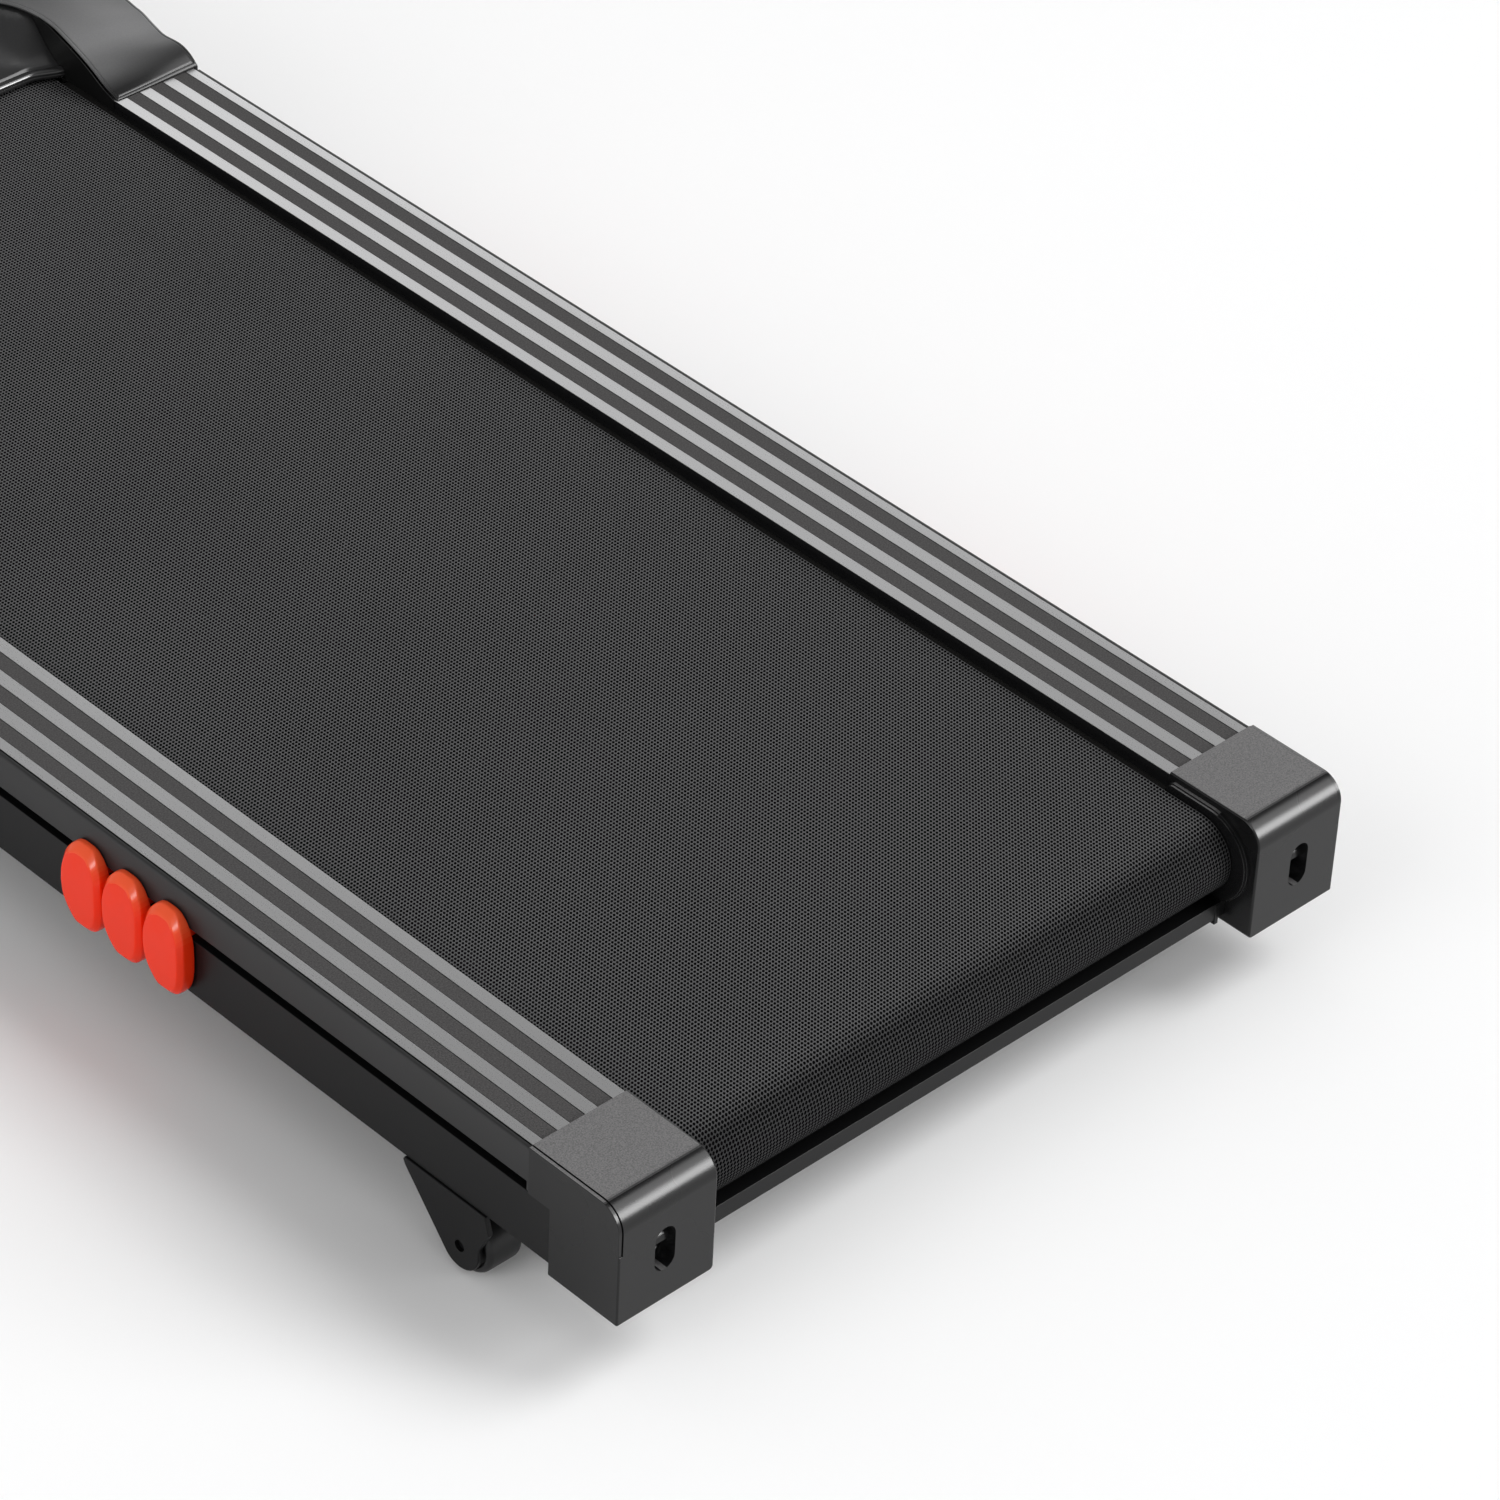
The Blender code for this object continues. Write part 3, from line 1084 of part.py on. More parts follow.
def make_uprights(looks):
    """Leaning uprights, each with its handrail and foam grip."""
    foot = BASE_TOP + FIT
    depth = UPRIGHT_DEPTH
    outline = (
        (UPRIGHT_FOOT_Y, foot),
        (UPRIGHT_FOOT_Y + depth, foot),
        (UPRIGHT_TOP_Y + depth, UPRIGHT_TOP_Z),
        (UPRIGHT_TOP_Y, UPRIGHT_TOP_Z),
    )
    lean = (UPRIGHT_TOP_Y - UPRIGHT_FOOT_Y) / (UPRIGHT_TOP_Z - foot)
    inner_top = UPRIGHT_TOP_Z - TUBE_WALL
    low_y = UPRIGHT_FOOT_Y + TUBE_WALL - OVER * lean
    high_y = UPRIGHT_FOOT_Y + TUBE_WALL + (inner_top - foot) * lean
    hollow_depth = depth - 2 * TUBE_WALL
    hollow = (
        (low_y, foot - OVER),
        (low_y + hollow_depth, foot - OVER),
        (high_y + hollow_depth, inner_top),
        (high_y, inner_top),
    )
    middle = (BASE_INNER + BASE_OUTER) / 2
    half = HANDRAIL_SIZE / 2
    front = Vector(HANDRAIL_FRONT)
    rear = Vector(HANDRAIL_REAR)
    along = (front - rear).normalized()
    rail = bar_outline(rear, front, HANDRAIL_SIZE)
    inside_start = rear - along * OVER
    inside_end = front - along * HANDRAIL_SOLID
    rail_hollow = bar_outline(inside_start, inside_end, HANDRAIL_SIZE - 2 * TUBE_WALL)
    for name, side in SIDES:
        x = span(side, BASE_INNER, BASE_OUTER)
        upright = add(f"upright_{name}", prism(outline, "x", *x), looks["frame_paint"])
        join(upright, prism(rail, "x", *span(side, middle - half, middle + half)))
        cut(upright, prism(hollow, "x", *span(side, BASE_INNER + TUBE_WALL, BASE_OUTER - TUBE_WALL)))
        inner_half = half - TUBE_WALL
        cut(upright, prism(rail_hollow, "x", *span(side, middle - inner_half, middle + inner_half)))

        grip_half = half + GRIP_WALL
        sleeve = bar_outline(rear - along * GRIP_WALL, rear + along * GRIP_LENGTH, 2 * grip_half)
        pocket_half = half + FIT
        pocket = bar_outline(rear - along * FIT, rear + along * (GRIP_LENGTH + OVER), 2 * pocket_half)
        grip = prism(sleeve, "x", *span(side, middle - grip_half, middle + grip_half))
        item = add(f"handrail_grip_{name}", grip, looks["foam"])
        cut(item, prism(pocket, "x", *span(side, middle - pocket_half, middle + pocket_half)))


def on_console(up, out=0.0):
    """A (y, z) point on the console's sloping face, some way up it and out of it."""
    low = Vector(CONSOLE_FACE_LOW)
    face = (Vector(CONSOLE_FACE_HIGH) - low).normalized()
    normal = Vector((-face[1], face[0]))
    return tuple(low + face * up + normal * out)


def face_box(x, up, out):
    """A block lying square to the console's face, between x, up and out values."""
    corners = ((up[0], out[0]), (up[1], out[0]), (up[1], out[1]), (up[0], out[1]))
    return prism([on_console(*corner) for corner in corners], "x", *x)


def make_console(looks):
    """The console housing, its display and the controls on its face."""
    outline = (CONSOLE_FACE_LOW, CONSOLE_FACE_HIGH, CONSOLE_BACK_HIGH, CONSOLE_BACK_LOW)
    half = BASE_INNER - FIT
    housing = add("console_housing", prism(outline, "x", -half, half), looks["gloss_grey"])
    face = (Vector(CONSOLE_FACE_HIGH) - Vector(CONSOLE_FACE_LOW)).length
    hollow = (
        on_console(-1.2 * OVER, -CONSOLE_WALL),
        on_console(face - 3.8 * CONSOLE_WALL, -CONSOLE_WALL),
        (CONSOLE_BACK_HIGH[0] - 1.5 * CONSOLE_WALL, CONSOLE_BACK_HIGH[1] - 1.5 * CONSOLE_WALL),
        (CONSOLE_BACK_LOW[0] - 1.5 * CONSOLE_WALL, CONSOLE_BACK_LOW[1] - OVER),
    )
    cut(housing, prism(hollow, "x", -half + CONSOLE_WALL, half - CONSOLE_WALL))

    width, height = DISPLAY_SIZE
    x = (-width / 2, width / 2)
    up = (DISPLAY_UP - height / 2, DISPLAY_UP + height / 2)
    sunk = DISPLAY_THICKNESS - DISPLAY_RECESS
    grown_x = (x[0] - FIT, x[1] + FIT)
    grown_up = (up[0] - FIT, up[1] + FIT)
    cut(housing, face_box(grown_x, grown_up, (-DISPLAY_RECESS, OVER)))
    add("console_display", face_box(x, up, (-DISPLAY_RECESS + FIT, sunk)), looks["display_glass"])

    slope = Vector(CONSOLE_FACE_HIGH) - Vector(CONSOLE_FACE_LOW)
    tilt = math.atan2(slope[1], slope[0])
    colours = ("start_green", "stop_red", "button_white", "button_white")
    bottom = -CONSOLE_WALL - FIT
    for (name, place, radius), colour in zip(BUTTONS, colours):
        profile = (
            (0, -BUTTON_INSIDE),
            (radius + BUTTON_FLANGE, -BUTTON_INSIDE),
            (radius + BUTTON_FLANGE, bottom),
            (radius, bottom),
            (radius, BUTTON_PROUD - BUTTON_EDGE),
            (radius - BUTTON_EDGE, BUTTON_PROUD),
            (0, BUTTON_PROUD),
        )
        origin = (place, *on_console(BUTTON_UP))
        add(name, turned(profile), looks[colour], origin, tilt)
        reach = CONSOLE_WALL + LAP
        hole_radius = radius + BUTTON_GAP
        hole = turned(((0, -reach), (hole_radius, -reach), (hole_radius, reach), (0, reach)))
        bmesh.ops.rotate(hole, verts=hole.verts, matrix=Matrix.Rotation(tilt, 3, "X"))
        bmesh.ops.translate(hole, verts=hole.verts, vec=origin)
        cut(housing, hole)

    long, wide = KEY_SIZE
    key_x = (KEY_X - long / 2, KEY_X + long / 2)
    key_up = (BUTTON_UP - wide / 2, BUTTON_UP + wide / 2)
    key = face_box(key_x, key_up, (-KEY_INSIDE, KEY_PROUD))
    item = add("safety_key", key, looks["stop_red"])
    ledge_x = (key_x[0] - KEY_LEDGE, key_x[1] + KEY_LEDGE)
    ledge_up = (key_up[0] - KEY_LEDGE, key_up[1] + KEY_LEDGE)
    join(item, face_box(ledge_x, ledge_up, (FIT, KEY_LEDGE)))
    slot_x = (key_x[0] - FIT, key_x[1] + FIT)
    slot_up = (key_up[0] - FIT, key_up[1] + FIT)
    cut(housing, face_box(slot_x, slot_up, (-OVER, OVER)))


def make_fold_lock(looks):
    """The pull knob whose pin holds the folded deck."""
    outside = BASE_INNER + EAR_THICKNESS + FIT
    profile = (
        (0, LOCK_PIN_TIP),
        (LOCK_PIN_RADIUS, LOCK_PIN_TIP),
        (LOCK_PIN_RADIUS, outside),
        (LOCK_KNOB_RADIUS * 0.6, outside),
        (LOCK_KNOB_RADIUS, outside + LOCK_KNOB_LENGTH * 0.4),
        (LOCK_KNOB_RADIUS, outside + LOCK_KNOB_LENGTH * 0.9),
        (LOCK_KNOB_RADIUS * 0.8, outside + LOCK_KNOB_LENGTH),
        (0, outside + LOCK_KNOB_LENGTH),
    )
    shape = turned(profile, "x", steps=SMALL_STEPS)
    add("fold_lock_knob", shape, looks["stop_red"], (0, LOCK_Y, LOCK_Z))


clear_scene()
MACHINE = bpy.data.objects.new("machine", None)
MACHINE.location = (0.0, -MIDDLE_Y, 0.0)
bpy.context.scene.collection.objects.link(MACHINE)
LOOKS = make_materials()
make_deck_frame(LOOKS)
make_board_and_belt(LOOKS)
make_rollers(LOOKS)
make_drive(LOOKS)
make_foot_rails(LOOKS)
make_rear_caps(LOOKS)
make_shock_pads(LOOKS)
make_rear_wheels(LOOKS)
make_hood(LOOKS)
make_belly_pan(LOOKS)
make_strut(LOOKS)
make_base(LOOKS)
make_uprights(LOOKS)
make_console(LOOKS)
make_fold_lock(LOOKS)
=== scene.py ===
"""Looks of the folding treadmill: camera, light, materials and the detailed pieces.

Lengths are metres. X runs to the right, +Y to the front (the motor end), and the floor is z = 0.
"""
import json
import math

import bmesh
import bpy
from mathutils import Matrix, Vector

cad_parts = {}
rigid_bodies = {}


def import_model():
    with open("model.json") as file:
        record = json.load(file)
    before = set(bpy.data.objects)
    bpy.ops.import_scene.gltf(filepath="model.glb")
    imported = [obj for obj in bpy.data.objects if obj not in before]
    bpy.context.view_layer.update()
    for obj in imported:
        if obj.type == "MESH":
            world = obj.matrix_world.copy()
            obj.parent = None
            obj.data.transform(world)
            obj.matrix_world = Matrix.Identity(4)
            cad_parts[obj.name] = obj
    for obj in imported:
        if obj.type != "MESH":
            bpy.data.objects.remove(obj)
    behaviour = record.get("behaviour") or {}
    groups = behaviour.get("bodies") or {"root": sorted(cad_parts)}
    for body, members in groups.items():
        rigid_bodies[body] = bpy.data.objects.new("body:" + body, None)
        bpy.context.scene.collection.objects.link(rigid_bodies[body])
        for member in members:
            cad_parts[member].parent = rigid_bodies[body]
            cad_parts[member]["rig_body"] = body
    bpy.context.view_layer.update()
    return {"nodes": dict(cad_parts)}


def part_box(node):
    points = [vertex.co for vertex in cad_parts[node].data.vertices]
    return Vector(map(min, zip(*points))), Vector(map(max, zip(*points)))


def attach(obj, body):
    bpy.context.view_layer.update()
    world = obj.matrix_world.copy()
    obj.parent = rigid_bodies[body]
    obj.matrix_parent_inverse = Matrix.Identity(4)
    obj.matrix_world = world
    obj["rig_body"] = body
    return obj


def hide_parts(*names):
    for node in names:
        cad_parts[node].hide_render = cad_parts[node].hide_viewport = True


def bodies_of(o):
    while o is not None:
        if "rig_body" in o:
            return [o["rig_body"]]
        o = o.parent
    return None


for left_over in list(bpy.data.objects):
    bpy.data.objects.remove(left_over)

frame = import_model()

# Places taken from the frame
CAP_LOW, CAP_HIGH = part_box("rear_cap_right")
BELT_LOW, BELT_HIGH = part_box("running_belt")
HOOD_LOW, HOOD_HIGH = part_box("motor_hood")
PLATE_LOW, PLATE_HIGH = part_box("wheel_bracket_right")
CONSOLE_LOW, CONSOLE_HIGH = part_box("console_housing")
RAIL_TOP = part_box("foot_rail_right")[1][2]
DATUM = CAP_HIGH[1]
SIDES = (("left", -1), ("right", 1))


# Camera: the place and direction that the photograph's straight edges give

CAMERA_PLACE = Vector((-1.96506, -2.50088, 2.28607))
CAMERA_RIGHT = Vector((0.72233, -0.69033, 0.04100)).normalized()
CAMERA_UP = Vector((0.39717, 0.46266, 0.79259)).normalized()
CAMERA_LENS = 146.8
SENSOR_WIDTH = 36.0
CLIP_END = 50.0


def make_camera():
    data = bpy.data.cameras.new("camera")
    data.lens = CAMERA_LENS
    data.sensor_width = SENSOR_WIDTH
    data.clip_end = CLIP_END
    camera = link(bpy.data.objects.new("camera", data))
    back = CAMERA_RIGHT.cross(CAMERA_UP).normalized()
    turn = Matrix((CAMERA_RIGHT, back.cross(CAMERA_RIGHT), back)).transposed()
    camera.matrix_world = Matrix.Translation(CAMERA_PLACE) @ turn.to_4x4()
    bpy.context.scene.camera = camera


# Materials

def put(tree, kind, **settings):
    """A new node. Each setting goes to the property or input of its name, linked if it is an output."""
    made = tree.nodes.new("ShaderNode" + kind)
    for key, value in settings.items():
        if isinstance(value, bpy.types.NodeSocket):
            tree.links.new(value, made.inputs[key])
        elif hasattr(made, key):
            setattr(made, key, value)
        else:
            made.inputs[key].default_value = value
    return made


def plain(name, colour, roughness, metallic=0.0, specular=0.5):
    """A material with a principled shader, its node tree and that shader."""
    made = bpy.data.materials.new(name)
    made.use_nodes = True
    shader = made.node_tree.nodes["Principled BSDF"]
    shader.inputs["Base Color"].default_value = (*colour, 1.0)
    shader.inputs["Roughness"].default_value = roughness
    shader.inputs["Metallic"].default_value = metallic
    shader.inputs["Specular IOR Level"].default_value = specular
    return made, made.node_tree, shader


def blended(tree, factor, low, high):
    """A colour between two colours or outputs, chosen by the factor."""
    made = put(tree, "Mix", data_type="RGBA", Factor=factor)
    for socket, colour in ((made.inputs[6], low), (made.inputs[7], high)):
        if isinstance(colour, bpy.types.NodeSocket):
            tree.links.new(colour, socket)
        else:
            socket.default_value = (*colour, 1.0)
    return made.outputs[2]


def ranged(tree, value, start, end, low=0.0, high=1.0):
    """The value carried from start..end to low..high."""
    limits = {"From Min": start, "From Max": end, "To Min": low, "To Max": high}
    return put(tree, "MapRange", Value=value, **limits).outputs["Result"]


def math_node(tree, operation, first, second=None):
    """One sum of numbers or outputs."""
    made = put(tree, "Math", operation=operation)
    for k, value in enumerate((first, second)):
        if isinstance(value, (int, float)):
            made.inputs[k].default_value = value
        elif value is not None:
            tree.links.new(value, made.inputs[k])
    return made.outputs["Value"]


def noise(tree, place, scale, detail=2.0, **more):
    return put(tree, "TexNoise", Vector=place, Scale=scale, Detail=detail, **more).outputs["Fac"]


def own_place(tree):
    """A point in its piece's own frame."""
    return put(tree, "TexCoord").outputs["Object"]


def axes_of(tree, vector):
    return put(tree, "SeparateXYZ", Vector=vector).outputs


def own_up(tree):
    """How far a face points up in its piece's own frame."""
    facing = put(tree, "VectorTransform", Vector=put(tree, "NewGeometry").outputs["True Normal"],
                 vector_type="NORMAL", convert_from="WORLD", convert_to="OBJECT")
    return axes_of(tree, facing.outputs["Vector"])["Z"]


def surfaced(tree, shader, tint, rough, relief=None):
    """Feeds a shader its colour and roughness, and a relief given as height, distance and strength."""
    tree.links.new(tint, shader.inputs["Base Color"])
    tree.links.new(rough, shader.inputs["Roughness"])
    if relief:
        height, distance, strength = relief
        bump = put(tree, "Bump", Height=height, Distance=distance, Strength=strength)
        tree.links.new(bump.outputs["Normal"], shader.inputs["Normal"])


def toned(colour, share):
    return [value * share for value in colour]


# The values that one noise, and the sum of two, mostly keep between
NOISE_SPAN = (0.3, 0.7)
SUM_SPAN = (0.7, 1.3)
CLOUD_SCALE = 9.0
ROUGH_SHARE = 0.12
# How much an edge stands out where its worn tone starts and where it is full
WORN_SPAN = (0.53, 0.62)


def grained(name, colour, roughness, size=0.001, shade=0.12, depth=0.00002, worn=0.0, **more):
    """A material with a fine grain in its colour, roughness and relief, a soft change of gloss, and
    where worn is more than 0 a lighter tone on its edges."""
    made, tree, shader = plain(name, colour, roughness, **more)
    place = own_place(tree)
    grain = noise(tree, place, 1.0 / size, 3.0)
    tint = blended(tree, ranged(tree, grain, *NOISE_SPAN), toned(colour, 1.0 - shade),
                   toned(colour, 1.0 + shade))
    if worn:
        edge = ranged(tree, put(tree, "NewGeometry").outputs["Pointiness"], *WORN_SPAN)
        tint = blended(tree, edge, tint, [value + worn for value in colour])
    both = math_node(tree, "ADD", grain, noise(tree, place, CLOUD_SCALE))
    rough = ranged(tree, both, *SUM_SPAN, *toned((1.0 - ROUGH_SHARE, 1.0 + ROUGH_SHARE), roughness))
    surfaced(tree, shader, tint, rough, (grain, depth, 1.0) if depth else None)
    return made


CAP_SMOOTH = (0.0065, 0.0065, 0.0068)
# The textured top's colour, partly its own and partly painted light from above
CAP_TOP_TEXTURED_AND_PAINTED_LIT = (0.140, 0.138, 0.139)
# How far up a face points where the caps' texture and its relief start, and where they are full. The
# textured top's lighter colour is partly its own and partly painted light from above
CAP_TEXTURE_AND_LIT_TOP_SPAN = (0.975, 0.9985)
CAP_RELIEF_SPAN = (0.985, 0.9995)
CAP_GLOSS = (0.26, 0.28)
CAP_TEXTURE_GLOSS = 0.24
CAP_RELIEF = 0.00006


def cap_plastic(name):
    """The caps' moulded plastic: smooth and dark, with a finely textured flat top, lighter partly in its
    own colour and partly by painted light from above.
    """
    made, tree, shader = plain(name, CAP_SMOOTH, 0.30, specular=0.26)
    place, facing = own_place(tree), own_up(tree)
    grain = noise(tree, place, 1100.0, 3.0, Roughness=0.6)
    cloud = noise(tree, place, 14.0)
    textured = blended(tree, ranged(tree, grain, 0.32, 0.68), toned(CAP_TOP_TEXTURED_AND_PAINTED_LIT, 0.66),
                       toned(CAP_TOP_TEXTURED_AND_PAINTED_LIT, 1.38))
    smooth = blended(tree, ranged(tree, grain, *NOISE_SPAN), toned(CAP_SMOOTH, 0.92),
                     toned(CAP_SMOOTH, 1.10))
    # The top is lighter partly in its own colour and partly by painted light from above
    tint = blended(tree, ranged(tree, facing, *CAP_TEXTURE_AND_LIT_TOP_SPAN), smooth, textured)
    gloss = math_node(tree, "ADD", ranged(tree, cloud, 0.35, 0.65, *CAP_GLOSS),
                      ranged(tree, facing, *CAP_TEXTURE_AND_LIT_TOP_SPAN, 0.0, CAP_TEXTURE_GLOSS))
    strength = ranged(tree, facing, *CAP_RELIEF_SPAN, 0.06, 1.0)
    surfaced(tree, shader, tint, gloss, (grain, CAP_RELIEF, strength))
    return made


RAIL_BLACK = (0.006, 0.006, 0.0065)
# The metal's colours at the rear end and past this length forward: a painted sheen, darker at the rear
RAIL_METAL_PAINTED_SHADE_REAR = (0.560, 0.560, 0.564)
RAIL_METAL_PAINTED_SHEEN_FRONT = (0.850, 0.850, 0.856)
RAIL_PAINTED_SHEEN_LENGTH = 1.0
RAIL_TOP_SPAN = (0.6, 0.8)
RAIL_GLOSS = (0.272, 0.284)
# The noise is drawn out along the rail by this share
RAIL_DRAWN = 0.02


def rail_metal(name):
    """The foot rails' extrusion: satin metal on the ribs' flat tops with a painted sheen paler forward,
    black on its sides.
    """
    made, tree, shader = plain(name, RAIL_METAL_PAINTED_SHEEN_FRONT, RAIL_GLOSS[0])
    place = own_place(tree)
    top = ranged(tree, own_up(tree), *RAIL_TOP_SPAN)
    drawn = put(tree, "Mapping", Vector=place, Scale=(1.0, RAIL_DRAWN, 1.0)).outputs["Vector"]
    both = math_node(tree, "ADD", noise(tree, drawn, 2600.0), noise(tree, place, 1300.0))
    # Painted sheen: the metal's colour pales from the rear end forward
    along = ranged(tree, axes_of(tree, place)["Y"], DATUM, DATUM + RAIL_PAINTED_SHEEN_LENGTH)
    share = math_node(tree, "ADD", along, ranged(tree, both, 0.75, 1.25, -0.02, 0.02))
    metal = blended(tree, share, RAIL_METAL_PAINTED_SHADE_REAR, RAIL_METAL_PAINTED_SHEEN_FRONT)
    tree.links.new(top, shader.inputs["Metallic"])
    rough = ranged(tree, both, *SUM_SPAN, *RAIL_GLOSS)
    surfaced(tree, shader, blended(tree, top, RAIL_BLACK, metal), rough)
    return made


PAD_ORANGE = (0.97, 0.034, 0.004)
# Painted highlight on faces that turn up towards the top, and how far up they point where it starts and
# where it is full
PAD_PAINTED_HIGHLIGHT = (1.0, 0.105, 0.030)
PAD_PAINTED_HIGHLIGHT_SPAN = (0.22, 0.62)
PAD_GLOSS = (0.22, 0.27)


def pad_rubber(name):
    """The pads' glossy moulded rubber, with a painted highlight where it turns up towards the top."""
    made, tree, shader = plain(name, PAD_ORANGE, PAD_GLOSS[0], specular=0.22)
    # Painted highlight where the rubber turns up
    tint = blended(tree, ranged(tree, own_up(tree), *PAD_PAINTED_HIGHLIGHT_SPAN), PAD_ORANGE, PAD_PAINTED_HIGHLIGHT)
    cloud = noise(tree, own_place(tree), 40.0)
    surfaced(tree, shader, tint, ranged(tree, cloud, *NOISE_SPAN, *PAD_GLOSS))
    return made


WEAVE_PITCH = 0.00245
WEAVE_DARK = (0.0015, 0.0015, 0.0017)
WEAVE_LIGHT = (0.107, 0.107, 0.109)
WEAVE_SLANT = 0.65
# The heights of the pattern where a pit's wall starts and where it ends
WEAVE_WALL = (-0.05, -0.55)
# Painted shade on the rollers: the weave's pale share there, and the turn in radians over which it falls
# to that
WEAVE_ROLLER_PAINTED_SHADE = 0.36
WEAVE_ROLLER_SHADE_TURN = (0.0, 0.65)
WEAVE_GLOSS = (0.62, 0.40)
WEAVE_RELIEF = (0.00022, 0.9)
BELT_ROLL = (BELT_HIGH[2] - BELT_LOW[2]) / 2
BELT_MIDDLE = (BELT_HIGH[2] + BELT_LOW[2]) / 2
BELT_REAR, BELT_FRONT = BELT_LOW[1] + BELT_ROLL, BELT_HIGH[1] - BELT_ROLL


def belt_weave(name):
    """The belt's moulded weave: a grid of slanting pits, along the belt and round its rollers, with
    painted shade where it turns.
    """
    made, tree, shader = plain(name, WEAVE_DARK, WEAVE_GLOSS[1], specular=0.0)

    def sum_of(operation, *values):
        return math_node(tree, operation, *values)

    place = own_place(tree)
    axes = axes_of(tree, place)
    level = put(tree, "Clamp", Value=axes["Y"], Min=BELT_REAR, Max=BELT_FRONT).outputs["Result"]
    past, above = sum_of("SUBTRACT", axes["Y"], level), sum_of("SUBTRACT", axes["Z"], BELT_MIDDLE)
    turn = sum_of("ARCTAN2", past, above)
    course = sum_of("ADD", level, sum_of("MULTIPLY", turn, BELT_ROLL))
    across, along = (sum_of("MULTIPLY", value, math.tau / WEAVE_PITCH) for value in (axes["X"], course))
    slant = sum_of("MULTIPLY", sum_of("COSINE", sum_of("SUBTRACT", across, along)), WEAVE_SLANT)
    grid = sum_of("ADD", sum_of("COSINE", across), sum_of("COSINE", along))
    height = sum_of("ADD", grid, slant)
    fuzz = ranged(tree, noise(tree, place, 900.0, 3.0), *NOISE_SPAN, -0.12, 0.10)
    cloud = ranged(tree, noise(tree, place, 5.0), *NOISE_SPAN, 0.92, 1.06)
    rise = sum_of("MULTIPLY", sum_of("ADD", ranged(tree, height, *WEAVE_WALL), fuzz), cloud)
    # Painted shade: the weave's pale share falls as the belt turns round a roller
    roller_painted_shade = ranged(tree, sum_of("ABSOLUTE", turn), *WEAVE_ROLLER_SHADE_TURN, 1.0, WEAVE_ROLLER_PAINTED_SHADE)
    surfaced(tree, shader, blended(tree, sum_of("MULTIPLY", rise, roller_painted_shade), WEAVE_DARK, WEAVE_LIGHT),
             ranged(tree, rise, 0.0, 1.0, *WEAVE_GLOSS), (rise, *WEAVE_RELIEF))
    return made


HOOD_GREY = (0.084, 0.084, 0.085)
# Where the hood's painted shade and painted highlight change, as distances from the rear caps' front,
# and the shares of its colour there
HOOD_LIP_Y, HOOD_CREST_Y = 0.975, (1.010, 1.018)
HOOD_REST_Y = 1.070
HOOD_LIP_PAINTED_SHADE, HOOD_CREST_PAINTED_HIGHLIGHT = 0.15, 1.90


def hood_plastic(name):
    """The hood's satin plastic, with painted shade along its shoulders' rear lips and a painted
    highlight on their crests.
    """
    made = grained(name, HOOD_GREY, 0.32, specular=0.20, **MOULDED)
    tree = made.node_tree
    colour = tree.nodes["Principled BSDF"].inputs["Base Color"]
    along = axes_of(tree, own_place(tree))["Y"]
    # Painted shade at the shoulders' rear lips and a painted highlight on their crests, as a scale on
    # the colour
    rise = ranged(tree, along, DATUM + HOOD_LIP_Y, DATUM + HOOD_CREST_Y[0], HOOD_LIP_PAINTED_SHADE,
                  HOOD_CREST_PAINTED_HIGHLIGHT)
    fall = ranged(tree, along, DATUM + HOOD_CREST_Y[1], DATUM + HOOD_REST_Y, 1.0, 1.0 / HOOD_CREST_PAINTED_HIGHLIGHT)
    painted_shade_and_highlight = put(tree, "VectorMath", operation="SCALE", Vector=colour.links[0].from_socket,
                  Scale=math_node(tree, "MULTIPLY", rise, fall))
    tree.links.new(painted_shade_and_highlight.outputs["Vector"], colour)
    return made


# Looks with a grain: colour, roughness and what differs from the usual grain
MOULDED = {"shade": 0.06, "depth": 0.000003}
BUTTON = {"size": 0.0008, "shade": 0.08}
GRAINED = {
    "frame_paint": ((0.0042, 0.0042, 0.0045), 0.36, {"size": 0.0014, "specular": 0.17}),
    "bright_steel": ((0.55, 0.55, 0.56), 0.22,
                     {"size": 0.0008, "shade": 0.05, "depth": 0.000004, "metallic": 1.0}),
    "gloss_grey": ((0.026, 0.026, 0.027), 0.27, {**MOULDED, "specular": 0.40}),
    "hood_inner": ((0.023, 0.023, 0.0235), 0.20, {**MOULDED, "specular": 0.50}),
    "hood_shade": ((0.004, 0.004, 0.004), 0.50, {"specular": 0.15}),
    "lit_digits": ((0.55, 0.85, 0.80), 0.40, {"size": 0.002, "shade": 0.03, "depth": 0.0}),
    "dark_plastic": ((0.0085, 0.0085, 0.009), 0.42,
                     {"size": 0.0008, "shade": 0.2, "depth": 0.00003, "worn": 0.02, "specular": 0.35}),
    "grip_rubber": ((0.056, 0.054, 0.054), 0.70,
                    {"size": 0.0009, "shade": 0.55, "depth": 0.00006, "specular": 0.2}),
    "board_wood": ((0.010, 0.0095, 0.009), 0.70, {"size": 0.0016, "shade": 0.25, "specular": 0.2}),
    "foam": ((0.018, 0.018, 0.019), 0.85, {"size": 0.0006, "shade": 0.45, "depth": 0.00014}),
    "display_glass": ((0.004, 0.005, 0.006), 0.06, {"size": 0.004, "shade": 0.1, "depth": 0.0}),
    "start_green": ((0.035, 0.30, 0.085), 0.38, BUTTON),
    "stop_red": ((0.62, 0.030, 0.022), 0.38, BUTTON),
    "button_white": ((0.62, 0.62, 0.60), 0.40, {**BUTTON, "shade": 0.05}),
}
OTHER_LOOKS = {"satin_aluminium": rail_metal, "grey_plastic": cap_plastic, "hood_satin": hood_plastic,
               "belt_weave": belt_weave, "orange_pad": pad_rubber}


def make_materials():
    made = {name: grained(name, *look, **more) for name, (*look, more) in GRAINED.items()}
    made.update({name: make(name) for name, make in OTHER_LOOKS.items()})
    return made


# Meshes

SHARP = math.radians(32.0)


